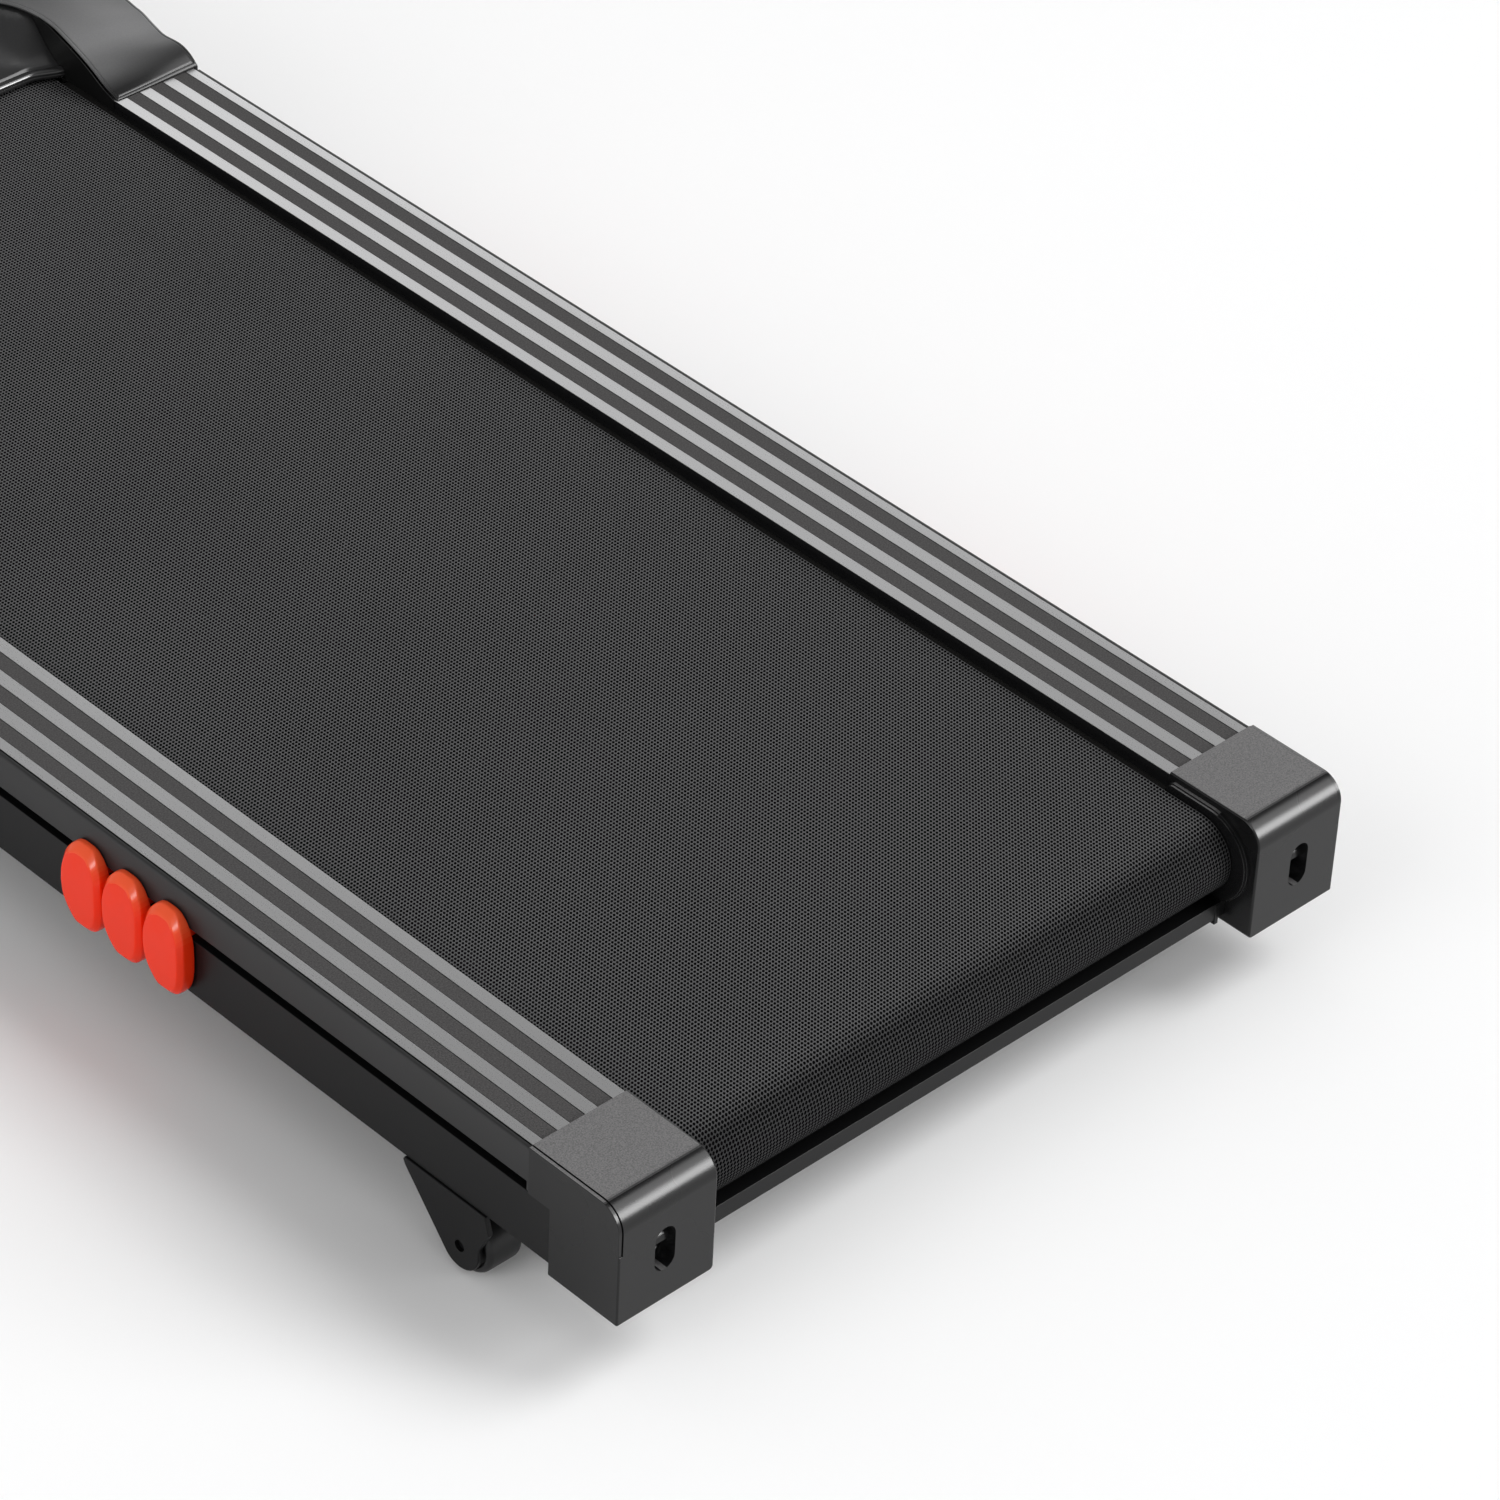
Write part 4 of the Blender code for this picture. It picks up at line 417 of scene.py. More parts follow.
def link(obj):
    bpy.context.scene.collection.objects.link(obj)
    return obj


def modified(obj, kind, **settings):
    """A modifier on the object."""
    made = obj.modifiers.new(kind.lower(), kind)
    for key, value in settings.items():
        setattr(made, key, value)
    return made


def gathered(name, shapes, side, angle):
    """One mesh of those shapes, mirrored in x for the left side, with edges over that angle sharp."""
    total = bmesh.new()
    for shape in shapes:
        part = bpy.data.meshes.new("part")
        shape.to_mesh(part)
        shape.free()
        total.from_mesh(part)
        bpy.data.meshes.remove(part)
    if side < 0:
        bmesh.ops.scale(total, vec=(-1, 1, 1), verts=total.verts)
        bmesh.ops.reverse_faces(total, faces=total.faces)
    total.normal_update()
    for face in total.faces:
        face.smooth = True
    for edge in total.edges:
        edge.smooth = len(edge.link_faces) == 2 and edge.calc_face_angle(0.0) < angle
    mesh = bpy.data.meshes.new(name)
    total.to_mesh(mesh)
    total.free()
    return mesh


def piece(name, shapes, look, body, replaced=(), angle=SHARP, side=1):
    """An object of those shapes which rides on a body and stands for the replaced nodes."""
    mesh = gathered(name, shapes, side, angle)
    made = link(bpy.data.objects.new(name, mesh))
    mesh.materials.append(LOOKS[look])
    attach(made, body)
    if replaced:
        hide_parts(*replaced)
    return made


def body_of(node):
    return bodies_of(frame["nodes"][node])[0]


def evened(obj):
    """Normals that leave the large flat faces flat."""
    modified(obj, "WEIGHTED_NORMAL", mode="FACE_AREA", weight=80, keep_sharp=True)


def points_of(node):
    return [vertex.co for vertex in frame["nodes"][node].data.vertices]


def copied(node):
    """The shape of a CAD node, with its triangles joined and its flat areas as single faces."""
    work = bmesh.new()
    work.from_mesh(frame["nodes"][node].data)
    bmesh.ops.remove_doubles(work, verts=work.verts, dist=0.000002)
    bmesh.ops.dissolve_limit(work, angle_limit=0.002, verts=work.verts, edges=work.edges)
    work.normal_update()
    return work


def skin(node, width):
    """A copy of a CAD node with softened edges, which replaces it."""
    look = frame["nodes"][node].material_slots[0].name.split(".")[0]
    made = piece(node + "_skin", [copied(node)], look, body_of(node), (node,))
    modified(made, "BEVEL", width=width, segments=2, limit_method="ANGLE", angle_limit=SHARP,
             use_clamp_overlap=True, harden_normals=True)


# Shapes

def arc(centre, radius, start, end, steps):
    """Points on an arc, with angles in degrees."""
    made = []
    for k in range(steps + 1):
        angle = math.radians(start + (end - start) * k / steps)
        made.append((centre[0] + radius * math.cos(angle), centre[1] + radius * math.sin(angle)))
    return made


def circle(x, y, radius, steps=40):
    turns = [2 * math.pi * k / steps for k in range(steps)]
    return [(x + radius * math.cos(turn), y + radius * math.sin(turn)) for turn in turns]


def squarish(power, steps=48):
    """The points of a unit circle, drawn out towards a square."""
    return [[math.copysign(abs(value) ** power, value) for value in point]
            for point in circle(0.0, 0.0, 1.0, steps)]


def lofted(rings, closed=False):
    """A shape through rings of points, each joined to the next, and the last to the first if closed."""
    work = bmesh.new()
    rows = [[work.verts.new(point) for point in ring] for ring in rings]
    for near, far in zip(rows, rows[1:] + rows[:1] if closed else rows[1:]):
        for k in range(len(near)):
            after = (k + 1) % len(near)
            work.faces.new((near[k], near[after], far[after], far[k]))
    if not closed:
        work.faces.new(rows[0])
        work.faces.new(rows[-1])
    bmesh.ops.recalc_face_normals(work, faces=work.faces)
    return work


def extruded(outline, axis, start, end):
    """An outline of (a, b) points drawn out along x, y or z."""
    def at(a, b, along):
        return {"x": (along, a, b), "y": (a, along, b), "z": (a, b, along)}[axis]
    return lofted([[at(a, b, along) for a, b in outline] for along in (start, end)])


def rectangle(low_a, low_b, high_a, high_b):
    return [(low_a, low_b), (high_a, low_b), (high_a, high_b), (low_a, high_b)]


def turned(profile, centre):
    """A form of revolution about x. The profile is a closed loop of (radius, along) points."""
    work = lofted([[Vector(centre) + Vector((along, a, b)) for a, b in circle(0.0, 0.0, radius, 64)]
                   for radius, along in profile], closed=True)
    bmesh.ops.remove_doubles(work, verts=work.verts, dist=0.000001)
    bmesh.ops.recalc_face_normals(work, faces=work.faces)
    return work


def bevelled(shape, edges, width, segments):
    bmesh.ops.bevel(shape, geom=edges, offset=width, segments=segments, affect="EDGES", profile=0.5,
                    clamp_overlap=True)
    return shape


def is_sharp(edge):
    return len(edge.link_faces) == 2 and edge.calc_face_angle(0.0) > SHARP


def rounded(shape, width, segments=3, behind=math.inf):
    """The shape with its sharp edges rounded, or only those that lie behind that y."""
    edges = [edge for edge in shape.edges
             if is_sharp(edge) and any(vertex.co.y < behind for vertex in edge.verts)]
    return bevelled(shape, edges, width, segments)


def carved(shape, cutter):
    """The shape less the cutter."""
    objects = []
    for source in (shape, cutter):
        mesh = bpy.data.meshes.new("carve")
        source.to_mesh(mesh)
        source.free()
        objects.append(link(bpy.data.objects.new("carve", mesh)))
    modified(objects[0], "BOOLEAN", object=objects[1], operation="DIFFERENCE", solver="EXACT")
    result = bmesh.new()
    graph = bpy.context.evaluated_depsgraph_get()
    result.from_mesh(objects[0].evaluated_get(graph).to_mesh())
    for each in objects:
        mesh = each.data
        bpy.data.objects.remove(each)
        bpy.data.meshes.remove(mesh)
    return result


# Rear end caps

CAP_ROUND = 0.016
CAP_CORNER = 0.0030
CAP_EDGE = 0.0012
CAP_OUTER_X = CAP_HIGH[0] + 0.0017
CAP_PLATE_X = CAP_OUTER_X - 0.0021
CAP_PLATE_DROP = 0.0006
CAP_SHELL_X = CAP_PLATE_X - 0.0007
CAP_GROOVE_DEEP = 0.0018
CAP_REACH = 0.0010
CAP_INNER_X = 0.2145
CAP_STEP_Y = DATUM - 0.0173
CAP_STEP_Z = 0.0948
CAP_KINK_Z = RAIL_TOP - 0.030
CAP_FAR = 0.006
POCKET_X = 0.252
POCKET_Z = RAIL_TOP - 0.0423
POCKET_HALF = (0.0075, 0.0150)
POCKET_Y = CAP_LOW[1] + 0.018
CRADLE_Y = CAP_LOW[1] + 0.0045
CRADLE_HALF = 0.0078
CRADLE_ARC = ((CAP_LOW[1] + 0.0110, POCKET_Z + 0.0015), 0.0062)
# The guards beside the belt: radius, inner x and outer x
GUARDS = ((0.0320, 0.2122, CAP_INNER_X + 0.001), (0.0311, 0.2106, 0.2132))
GUARD_CENTRE = (DATUM - 0.034, RAIL_TOP - 0.0345)
GUARD_TIP = 0.004


def cap_outline():
    """The cap seen from its side."""
    high, rear = CAP_HIGH[2], CAP_LOW[1]
    made = [(CAP_STEP_Y + CAP_REACH, CAP_LOW[2]), (CAP_STEP_Y + CAP_REACH, CAP_STEP_Z - CAP_REACH),
            (DATUM + CAP_REACH, CAP_STEP_Z - CAP_REACH), (DATUM + CAP_REACH, high)]
    made += arc((rear + CAP_ROUND, high - CAP_ROUND), CAP_ROUND, 90, 180, 20)
    return made + [(rear, CAP_KINK_Z), (rear, CAP_LOW[2])]


def obround(x, z, half_width, half_height, steps=12):
    straight = half_height - half_width
    return (arc((x, z + straight), half_width, 0, 180, steps)
            + arc((x, z - straight), half_width, 180, 360, steps))


def rim_cutter(inset, start, end):
    """What lies outside the cap's drawn-in upper outline, above the kink."""
    top, rear, radius = CAP_HIGH[2] - inset, CAP_LOW[1] + inset, CAP_ROUND - inset
    outline = [(DATUM + CAP_FAR, top)] + arc((rear + radius, top - radius), radius, 90, 180, 20)
    outline += [(rear, CAP_KINK_Z), (CAP_LOW[1] - CAP_FAR, CAP_KINK_Z),
                (CAP_LOW[1] - CAP_FAR, CAP_HIGH[2] + CAP_FAR), (DATUM + CAP_FAR, CAP_HIGH[2] + CAP_FAR)]
    return extruded(outline, "x", start, end)


def cap_shell():
    """The cap itself, with its rim groove and bolt pocket."""
    shell = extruded(cap_outline(), "x", CAP_INNER_X, CAP_OUTER_X)
    corner = [edge for edge in shell.edges if all(abs(vertex.co.x - CAP_INNER_X) < 1e-5 and
                                                  abs(vertex.co.z - CAP_LOW[2]) < 1e-5
                                                  for vertex in edge.verts)]
    shell = rounded(bevelled(shell, corner, CAP_CORNER, 6), CAP_EDGE, 4, CAP_STEP_Y - 0.001)
    shell = carved(shell, rim_cutter(CAP_GROOVE_DEEP, CAP_SHELL_X, CAP_PLATE_X))
    shell = carved(shell, rim_cutter(CAP_PLATE_DROP, CAP_PLATE_X - 0.0001, CAP_OUTER_X + 0.002))
    pocket = obround(POCKET_X, POCKET_Z, *POCKET_HALF)
    return carved(shell, extruded(pocket, "y", CAP_LOW[1] - 0.01, POCKET_Y))


def guard(radius, inner, outer):
    top = RAIL_TOP - 0.0025 - (GUARDS[0][0] - radius) - GUARD_TIP
    ring = arc((DATUM - 0.0043, top), GUARD_TIP, 0, 90, 6) + arc(GUARD_CENTRE, radius, 90, 270, 32)
    ring += [(CAP_STEP_Y, GUARD_CENTRE[1] - radius), (CAP_STEP_Y, CAP_STEP_Z + 0.001),
             (DATUM - 0.0003, CAP_STEP_Z + 0.001)]
    return rounded(extruded(ring, "x", inner, outer), 0.0004, 2)


def cradle():
    """What holds the bolt in its pocket."""
    outline = [(CRADLE_Y, POCKET_Z + 0.0010)] + arc(*CRADLE_ARC, 180, 90, 8)
    outline += [(POCKET_Y + 0.001, POCKET_Z + 0.0077), (POCKET_Y + 0.001, POCKET_Z - 0.0040)]
    return rounded(extruded(outline, "x", POCKET_X - CRADLE_HALF, POCKET_X + CRADLE_HALF), 0.0003, 2)


def make_rear_caps():
    for name, side in SIDES:
        shapes = [cap_shell()] + [guard(*sizes) for sizes in GUARDS] + [cradle()]
        node = f"rear_cap_{name}"
        evened(piece(f"end_cap_{name}", shapes, "grey_plastic", "deck", (node,), side=side))


# Shock pads: three rubber lobes on a thin plate, each with a root that runs in under the rail

PAD_PITCH = 0.0368
PAD_LOBE_HALF = 0.0178
PAD_ROOT_HALF = 0.0120
PAD_ROOT_X = 0.255
PAD_ROOT_LOW, PAD_ROOT_HIGH = 0.0948, 0.1008
PAD_BACK = 0.2858
PAD_SQUARE = 2 / 3.4
PAD_SHARP = math.radians(50)
# Rings of a lobe from its back to its face: (share of the outline, distance from the back)
PAD_RINGS = ((0.90, 0.0), (0.97, 0.0006), (0.985, 0.0018), (0.990, 0.0040), (0.985, 0.0072),
             (0.978, 0.0082), (0.962, 0.0090), (0.862, 0.0113), (0.838, 0.0118), (0.800, 0.0120),
             (0.50, 0.0120), (0.2, 0.0120))
# How much a lobe narrows towards its low end and its high end, on its front half and its rear half
PAD_TAPER = ((0.55, 0.16), (0.08, 0.34))
# How its face leans back: amount, way up or down, where it starts, power
PAD_LEAN = ((0.32, 1, 0.16, 1.2), (1.5, 1, 0.72, 1.2), (0.10, -1, 0.4, 1.0))


def lobe_ring(centre_y, low, high, share, out):
    """One ring of a lobe: a squarish outline, a little wider above, whose face leans back to its top."""
    made = []
    for across, up in squarish(PAD_SQUARE):
        narrow_low, narrow_high = PAD_TAPER[0 if across > 0 else 1]
        taper = 1.0 - narrow_low * max(0.0, -up) ** 2.0 - narrow_high * max(0.0, up) ** 2.6
        lean = 1.0 - sum(amount * max(0.0, way * up * share - start) ** power
                         for amount, way, start, power in PAD_LEAN)
        made.append((PAD_BACK + out * lean, centre_y + PAD_LOBE_HALF * across * taper * share,
                     (low + high) / 2 + (high - low) / 2 * up * share))
    return made


def make_shock_pads():
    for place in ("rear", "front"):
        for name, side in SIDES:
            node = f"shock_pad_{place}_{name}"
            low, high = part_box(node)
            centres = [(low[1] + high[1]) / 2 + step * PAD_PITCH for step in (-1, 0, 1)]
            shapes = [lofted([lobe_ring(centre, low[2] + 0.0010, high[2] - 0.0012, share, out)
                              for share, out in PAD_RINGS]) for centre in centres]
            plate = rectangle(low[1] + 0.010, low[2] + 0.020, high[1] - 0.010, high[2] - 0.028)
            shapes.append(extruded(plate, "x", PAD_BACK - 0.0002, PAD_BACK + 0.0026))
            for centre in centres:
                near, far = centre - PAD_ROOT_HALF, centre + PAD_ROOT_HALF
                root = rectangle(near, PAD_ROOT_LOW, far, PAD_ROOT_HIGH)
                shapes.append(extruded(root, "x", PAD_ROOT_X, PAD_BACK + 0.0010))
            made = piece(f"rubber_pad_{place}_{name}", shapes, "orange_pad", "deck", (node,), PAD_SHARP,
                         side=side)
            evened(made)


# Running belt: one band round both rollers

BELT_THICK = 0.0018
BELT_EDGE = 0.0004
BELT_STRAIGHT_STEPS, BELT_TURN_STEPS, BELT_HALF_COLUMNS = 60, 28, 6


def belt_course(radius):
    """The (y, z) points of the band's course round both rollers, at that distance from their axes."""
    top = [(BELT_REAR + (BELT_FRONT - BELT_REAR) * k / BELT_STRAIGHT_STEPS, BELT_MIDDLE + radius)
           for k in range(BELT_STRAIGHT_STEPS)]
    top += arc((BELT_FRONT, BELT_MIDDLE), radius, 90, -90, BELT_TURN_STEPS)[:-1]
    return top + [(BELT_REAR + BELT_FRONT - y, 2 * BELT_MIDDLE - z) for y, z in top]


def make_belt():
    half, inner = BELT_HIGH[0], BELT_ROLL - BELT_THICK
    columns = [half * k / BELT_HALF_COLUMNS for k in range(1 - BELT_HALF_COLUMNS, BELT_HALF_COLUMNS)]
    columns = [BELT_EDGE - half] + columns + [half - BELT_EDGE]
    profile = [(x, BELT_ROLL) for x in columns]
    profile += [(half, BELT_ROLL - BELT_EDGE), (half, inner + BELT_EDGE)]
    profile += [(x, inner) for x in reversed(columns)]
    profile += [(-half, inner + BELT_EDGE), (-half, BELT_ROLL - BELT_EDGE)]
    courses = [[(x, *point) for point in belt_course(radius)] for x, radius in profile]
    piece("belt_band", [lofted(zip(*courses), closed=True)], "belt_weave", "deck", ("running_belt",))


# Motor hood: an upper shell with a rounded opening at its rear, and the lower panel seen in the opening

HOOD_WALL = 0.003
HOOD_FOOT_Z = 0.0978
HOOD_TURNED_IN = 0.0016
HOOD_SHARP = math.radians(45)
OPENING_HALF = 0.2165
OPENING_ROUND = 0.052
OPENING_Y = DATUM + 1.084
# Where the opening's straight edges end and its corners begin
CORNER_X, CORNER_Y = OPENING_HALF - OPENING_ROUND, OPENING_Y - OPENING_ROUND
# Behind this y the shell lies over the rails, and its inside keeps that far above them
OVER_RAILS_Y, OVER_RAILS = DATUM + 1.022, 0.0004
# Half of the middle stretch over which the shell is level from side to side
LEVEL_HALF = 0.060
PANEL_HALF = 0.2140
PANEL_THICK = 0.002
LIP_Y = DATUM + 1.030
LIP_ROUND = 0.0026
LIP_RISE = 0.0012
WALL_TOP, WALL_FOOT = -0.0016, -0.0074
# A moulded edge: its rounding, and the distance, depth and width of the groove behind its bead
EDGE_ROUND = 0.0012
GROOVE = (0.0022, 0.0007, 0.00038)
PANEL_GROOVE = (0.0056, 0.0011, 0.0009)
# Heights above the rail top, as (distance from the rear caps' front, height)
SHOULDER_OUTER_EDGE = (
    (0.968, 0.0016), (0.975, 0.0072), (0.9835, 0.0103), (0.992, 0.0104), (1.003, 0.0098),
    (1.0168, 0.0137), (1.0255, 0.0167), (1.0361, 0.0179), (1.0485, 0.0194), (1.09, 0.032),
    (1.15, 0.04), (1.25, 0.034), (1.31, 0.016), (1.3255, 0.004))
SHOULDER_CREST = (
    (0.968, 0.001), (0.982, 0.006), (0.9962, 0.0132), (1.0104, 0.019), (1.0242, 0.0236),
    (1.0351, 0.0268), (1.0467, 0.0299), (1.0572, 0.0326), (1.0656, 0.0348), (1.0715, 0.0362),
    (1.09, 0.0405), (1.15, 0.056), (1.25, 0.05), (1.31, 0.03), (1.3255, 0.012))
HOOD_MIDDLE = ((1.0, 0.029), (1.06, 0.036), (1.084, 0.0412), (1.105, 0.049), (1.15, 0.064),
               (1.2, 0.0705), (1.25, 0.063), (1.31, 0.04), (1.3255, 0.024))
LOWER_PANEL = ((1.032, 0.0012), (1.04, 0.0026), (1.052, 0.0078), (1.068, 0.018), (1.084, 0.029),
               (1.105, 0.04), (1.12, 0.046))
# Distances from an edge at which the shell, and the panel past its lip, have a row of points
EDGE_STEPS = [0.0, 0.0002, 0.0005, 0.0009, 0.0013, 0.0016, 0.0019, 0.0022, 0.0025, 0.0028, 0.0033, 0.004]
PANEL_STEPS = [0.0026, 0.0036, 0.0044, 0.005, 0.0056, 0.0062, 0.007, 0.008, 0.01]
TURN_STEPS = 24


def eased(share):
    share = min(1.0, max(0.0, share))
    return share * share * (3.0 - 2.0 * share)


def part_way(start, end, share):
    return [a + (b - a) * share for a, b in zip(start, end)]


def fine_steps(start, end, step):
    count = max(1, round((end - start) / step))
    return [start + (end - start) * k / count for k in range(count)]


def height_on(curve, y):
    """The height of a smooth curve through (y, height) points."""
    points = [(DATUM + distance, height) for distance, height in curve]
    if y <= points[0][0]:
        return points[0][1]
    last = len(points) - 1
    for k in range(last):
        (y0, h0), (y1, h1) = points[k], points[k + 1]
        if y <= y1:
            before, after = points[max(0, k - 1)], points[min(last, k + 2)]
            t0 = (h1 - before[1]) / (y1 - before[0]) * (y1 - y0)
            t1 = (after[1] - h0) / (after[0] - y0) * (y1 - y0)
            t = (y - y0) / (y1 - y0)
            return ((2 * t ** 3 - 3 * t ** 2 + 1) * h0 + (t ** 3 - 2 * t ** 2 + t) * t0
                    + (3 * t ** 2 - 2 * t ** 3) * h1 + (t ** 3 - t ** 2) * t1)
    return points[last][1]


def groove(distance, middle, depth, width):
    return depth * math.exp(-((distance - middle) / width) ** 2)


def edge_form(distance):
    """How far the shell lies below its plain height near its edge: a bead with a groove behind it."""
    short = max(0.0, EDGE_ROUND - distance)
    fall = EDGE_ROUND - math.sqrt(max(0.0, EDGE_ROUND ** 2 - short ** 2))
    return fall + groove(distance, *GROOVE)


def opening_distance(out, y):
    """The distance from the rounded opening's edge, in plan."""
    across, along = out - CORNER_X, y - CORNER_Y
    if across > 0 and along > 0:
        return math.hypot(across, along) - OPENING_ROUND
    return max(across, along) - OPENING_ROUND


def upper_height(out, y):
    """The height of the hood's upper shell: shoulders over the rails, and a swelling between them."""
    crest = height_on(SHOULDER_CREST, y)
    if out > OPENING_HALF:
        edge = height_on(SHOULDER_OUTER_EDGE, y)
        share = (out - OPENING_HALF) / (HOOD_HIGH[0] - OPENING_HALF)
        crown = 0.0024 * math.sin(math.pi * min(1.0, share)) * eased((y - HOOD_LOW[1] - 0.004) / 0.05)
        height = crest + (edge - crest) * eased(share) ** 1.15 + crown
    else:
        middle = height_on(HOOD_MIDDLE, y)
        share = max(0.0, (out - LEVEL_HALF) / (OPENING_HALF - LEVEL_HALF))
        height = middle + (crest - middle) * share ** 2
    border = min(HOOD_HIGH[0] - out, y - HOOD_LOW[1], opening_distance(out, y))
    return RAIL_TOP + height - edge_form(max(0.0, border))


def opening_path():
    """Pairs of plan points, on the opening's edge and the outer edge, from the rear to the middle."""
    rear = [HOOD_LOW[1] + step for step in EDGE_STEPS]
    made = [((OPENING_HALF, y), (HOOD_HIGH[0], y))
            for y in rear + fine_steps(rear[-1] + 0.003, CORNER_Y, 0.0035)]
    corner = arc((CORNER_X, CORNER_Y), OPENING_ROUND, 0, 90, TURN_STEPS)
    for k, inner in enumerate(corner):
        share = k / TURN_STEPS * 2
        if share <= 1:
            outer = (HOOD_HIGH[0], CORNER_Y + (HOOD_HIGH[1] - CORNER_Y) * share)
        else:
            outer = (HOOD_HIGH[0] - (HOOD_HIGH[0] - CORNER_X) * (share - 1), HOOD_HIGH[1])
        made.append((inner, outer))
    middle = fine_steps(CORNER_X, 0.0, 0.0125)[1:] + [0.0]
    return made + [((x, OPENING_Y), (x, HOOD_HIGH[1])) for x in middle]


def upper_shell():
    """The upper shell as one grid, from the opening's edge out to the outer edge and back beneath."""
    path = opening_path()
    path += [((-inner[0], inner[1]), (-outer[0], outer[1])) for inner, outer in reversed(path[:-1])]
    rows = []
    for inner, outer in path:
        length = math.dist(inner, outer)
        steps = EDGE_STEPS + fine_steps(EDGE_STEPS[-1] + 0.002, length - 0.006, (length - 0.012) / 17)
        steps += [length - step for step in reversed(EDGE_STEPS)]
        plan = [part_way(inner, outer, step / length) for step in steps]
        row = [(x, y, upper_height(abs(x), y)) for x, y in plan]
        foot = HOOD_LOW[2] if outer[1] > HOOD_HIGH[1] - 1e-6 else HOOD_FOOT_Z
        row += [(*outer, foot), (outer[0] - math.copysign(HOOD_TURNED_IN, outer[0]),
                                 min(outer[1], HOOD_HIGH[1] - HOOD_TURNED_IN), foot)]
        for x, y in reversed(plan[4:-6:3]):
            below = upper_height(abs(x), y) - HOOD_WALL
            row.append((x, y, max(below, RAIL_TOP + OVER_RAILS) if y < OVER_RAILS_Y else below))
        rows.append(row)
    return lofted(rows)


def panel_column(x, lip, flat):
    """The panel's points at that x, from its lip to its front, as it curves up and back to the sides."""
    back = 0.0085 * eased((abs(x) - 0.190) / 0.026)
    rise = 0.020 * eased((abs(x) - 0.176) / 0.042)
    column = [(x, LIP_Y + along - back, RAIL_TOP + height) for along, height in lip]
    for along in flat:
        y = LIP_Y + along
        height = (height_on(LOWER_PANEL, y) - groove(along, *PANEL_GROOVE)
                  + rise * eased((along - 0.004) / 0.030))
        height = min(height, height_on(SHOULDER_CREST, y) - 0.0045, height_on(HOOD_MIDDLE, y) - 0.0052)
        column.append((x, y - back * (1 - eased(along / 0.03)), RAIL_TOP + height))
    return column


def lower_panel():
    """The panel in the opening: a rolled lip, a shallow groove, and sides that curve up."""
    lip = arc((LIP_ROUND, LIP_RISE - LIP_ROUND), LIP_ROUND, 270, 105, 11)
    flat = PANEL_STEPS + fine_steps(0.0135, 0.090, 0.0045)
    half = fine_steps(0.0, 0.150, 0.0125) + fine_steps(0.150, PANEL_HALF, 0.0032) + [PANEL_HALF]
    work = bmesh.new()
    tops, unders = [], []
    for x in [-x for x in reversed(half[1:])] + half:
        column = panel_column(x, lip, flat)
        tops.append([work.verts.new(point) for point in column])
        unders.append([work.verts.new((x, y + (LIP_RISE if k < 3 else 0.0), z - PANEL_THICK))
                       for k, (x, y, z) in enumerate(column)])
    last = len(tops[0]) - 1
    for k in range(len(tops) - 1):
        for grid in (tops, unders):
            for j in range(last):
                work.faces.new((grid[k][j], grid[k + 1][j], grid[k + 1][j + 1], grid[k][j + 1]))
        for j in (0, last):
            work.faces.new((tops[k][j], tops[k + 1][j], unders[k + 1][j], unders[k][j]))
    for k in (0, -1):
        for j in range(last):
            work.faces.new((tops[k][j], tops[k][j + 1], unders[k][j + 1], unders[k][j]))
    bmesh.ops.recalc_face_normals(work, faces=work.faces)
    return work


def opening_walls():
    """The upright walls under the shoulders' inner edges, down to beside the belt."""
    levels = fine_steps(HOOD_LOW[1] + 0.002, DATUM + 1.100, 0.006)
    outline = [(y, RAIL_TOP + height_on(SHOULDER_CREST, y) + WALL_TOP) for y in levels]
    outline += [(levels[-1], RAIL_TOP + WALL_FOOT), (levels[0], RAIL_TOP + WALL_FOOT)]
    return [extruded(outline, "x", side * (PANEL_HALF + 0.0003), side * (OPENING_HALF - 0.0014))
            for side in (-1, 1)]


def make_hood():
    for name, shapes, look, nodes in (("hood_shell", [upper_shell()], "hood_satin", ("motor_hood",)),
                                      ("hood_panel", [lower_panel()], "hood_inner", ()),
                                      ("hood_walls", opening_walls(), "hood_shade", ())):
        piece(name, shapes, look, "deck", nodes, HOOD_SHARP)


# Wheels

WHEEL_RIM = 0.22
WHEEL_RECESS = 0.003
# Kind, and the radii of its bore, of its hub and of its tread's rounding
WHEELS = (("rear_wheel", 0.0035, 0.0100, 0.0035), ("front_wheel", 0.0043, 0.0110, 0.005))


def wheel_profile(radius, half, bore, hub, tread):
    """A closed loop of (radius, along) points: rounded tread, sunken web and a raised hub."""
    rim = radius - WHEEL_RIM * radius
    web = ((bore, 0.25), (hub - 0.0006, 0.25), (hub, 0.45), (hub + 0.0004, 1.0), (rim - 0.0008, 1.0),
           (rim, 0.7))
    loop = [(out, -half + WHEEL_RECESS * share) for out, share in web]
    loop += [(rim + 0.0004, -half + 0.0004), (rim + 0.0009, -half)]
    loop += [(out, along) for along, out in arc((-half + tread, radius - tread), tread, 180, 90, 7)]
    return loop + [(out, -along) for out, along in reversed(loop)]


def make_wheels():
    for name, _ in SIDES:
        for kind, *sizes in WHEELS:
            node = f"{kind}_{name}"
            low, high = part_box(node)
            profile = wheel_profile((high[2] - low[2]) / 2, (high[0] - low[0]) / 2, *sizes)
            tyre = turned(profile, (low + high) / 2)
            piece(f"{node}_tyre", [tyre], "dark_plastic", body_of(node), (node,))


# Rear wheel brackets: a plate with a straight front edge that runs into its round lower end

PLATE_THICK = 0.0036
PLATE_ROUND = 0.0155
PIN_RADIUS = 0.0032
PIN_HOLE = 0.0006


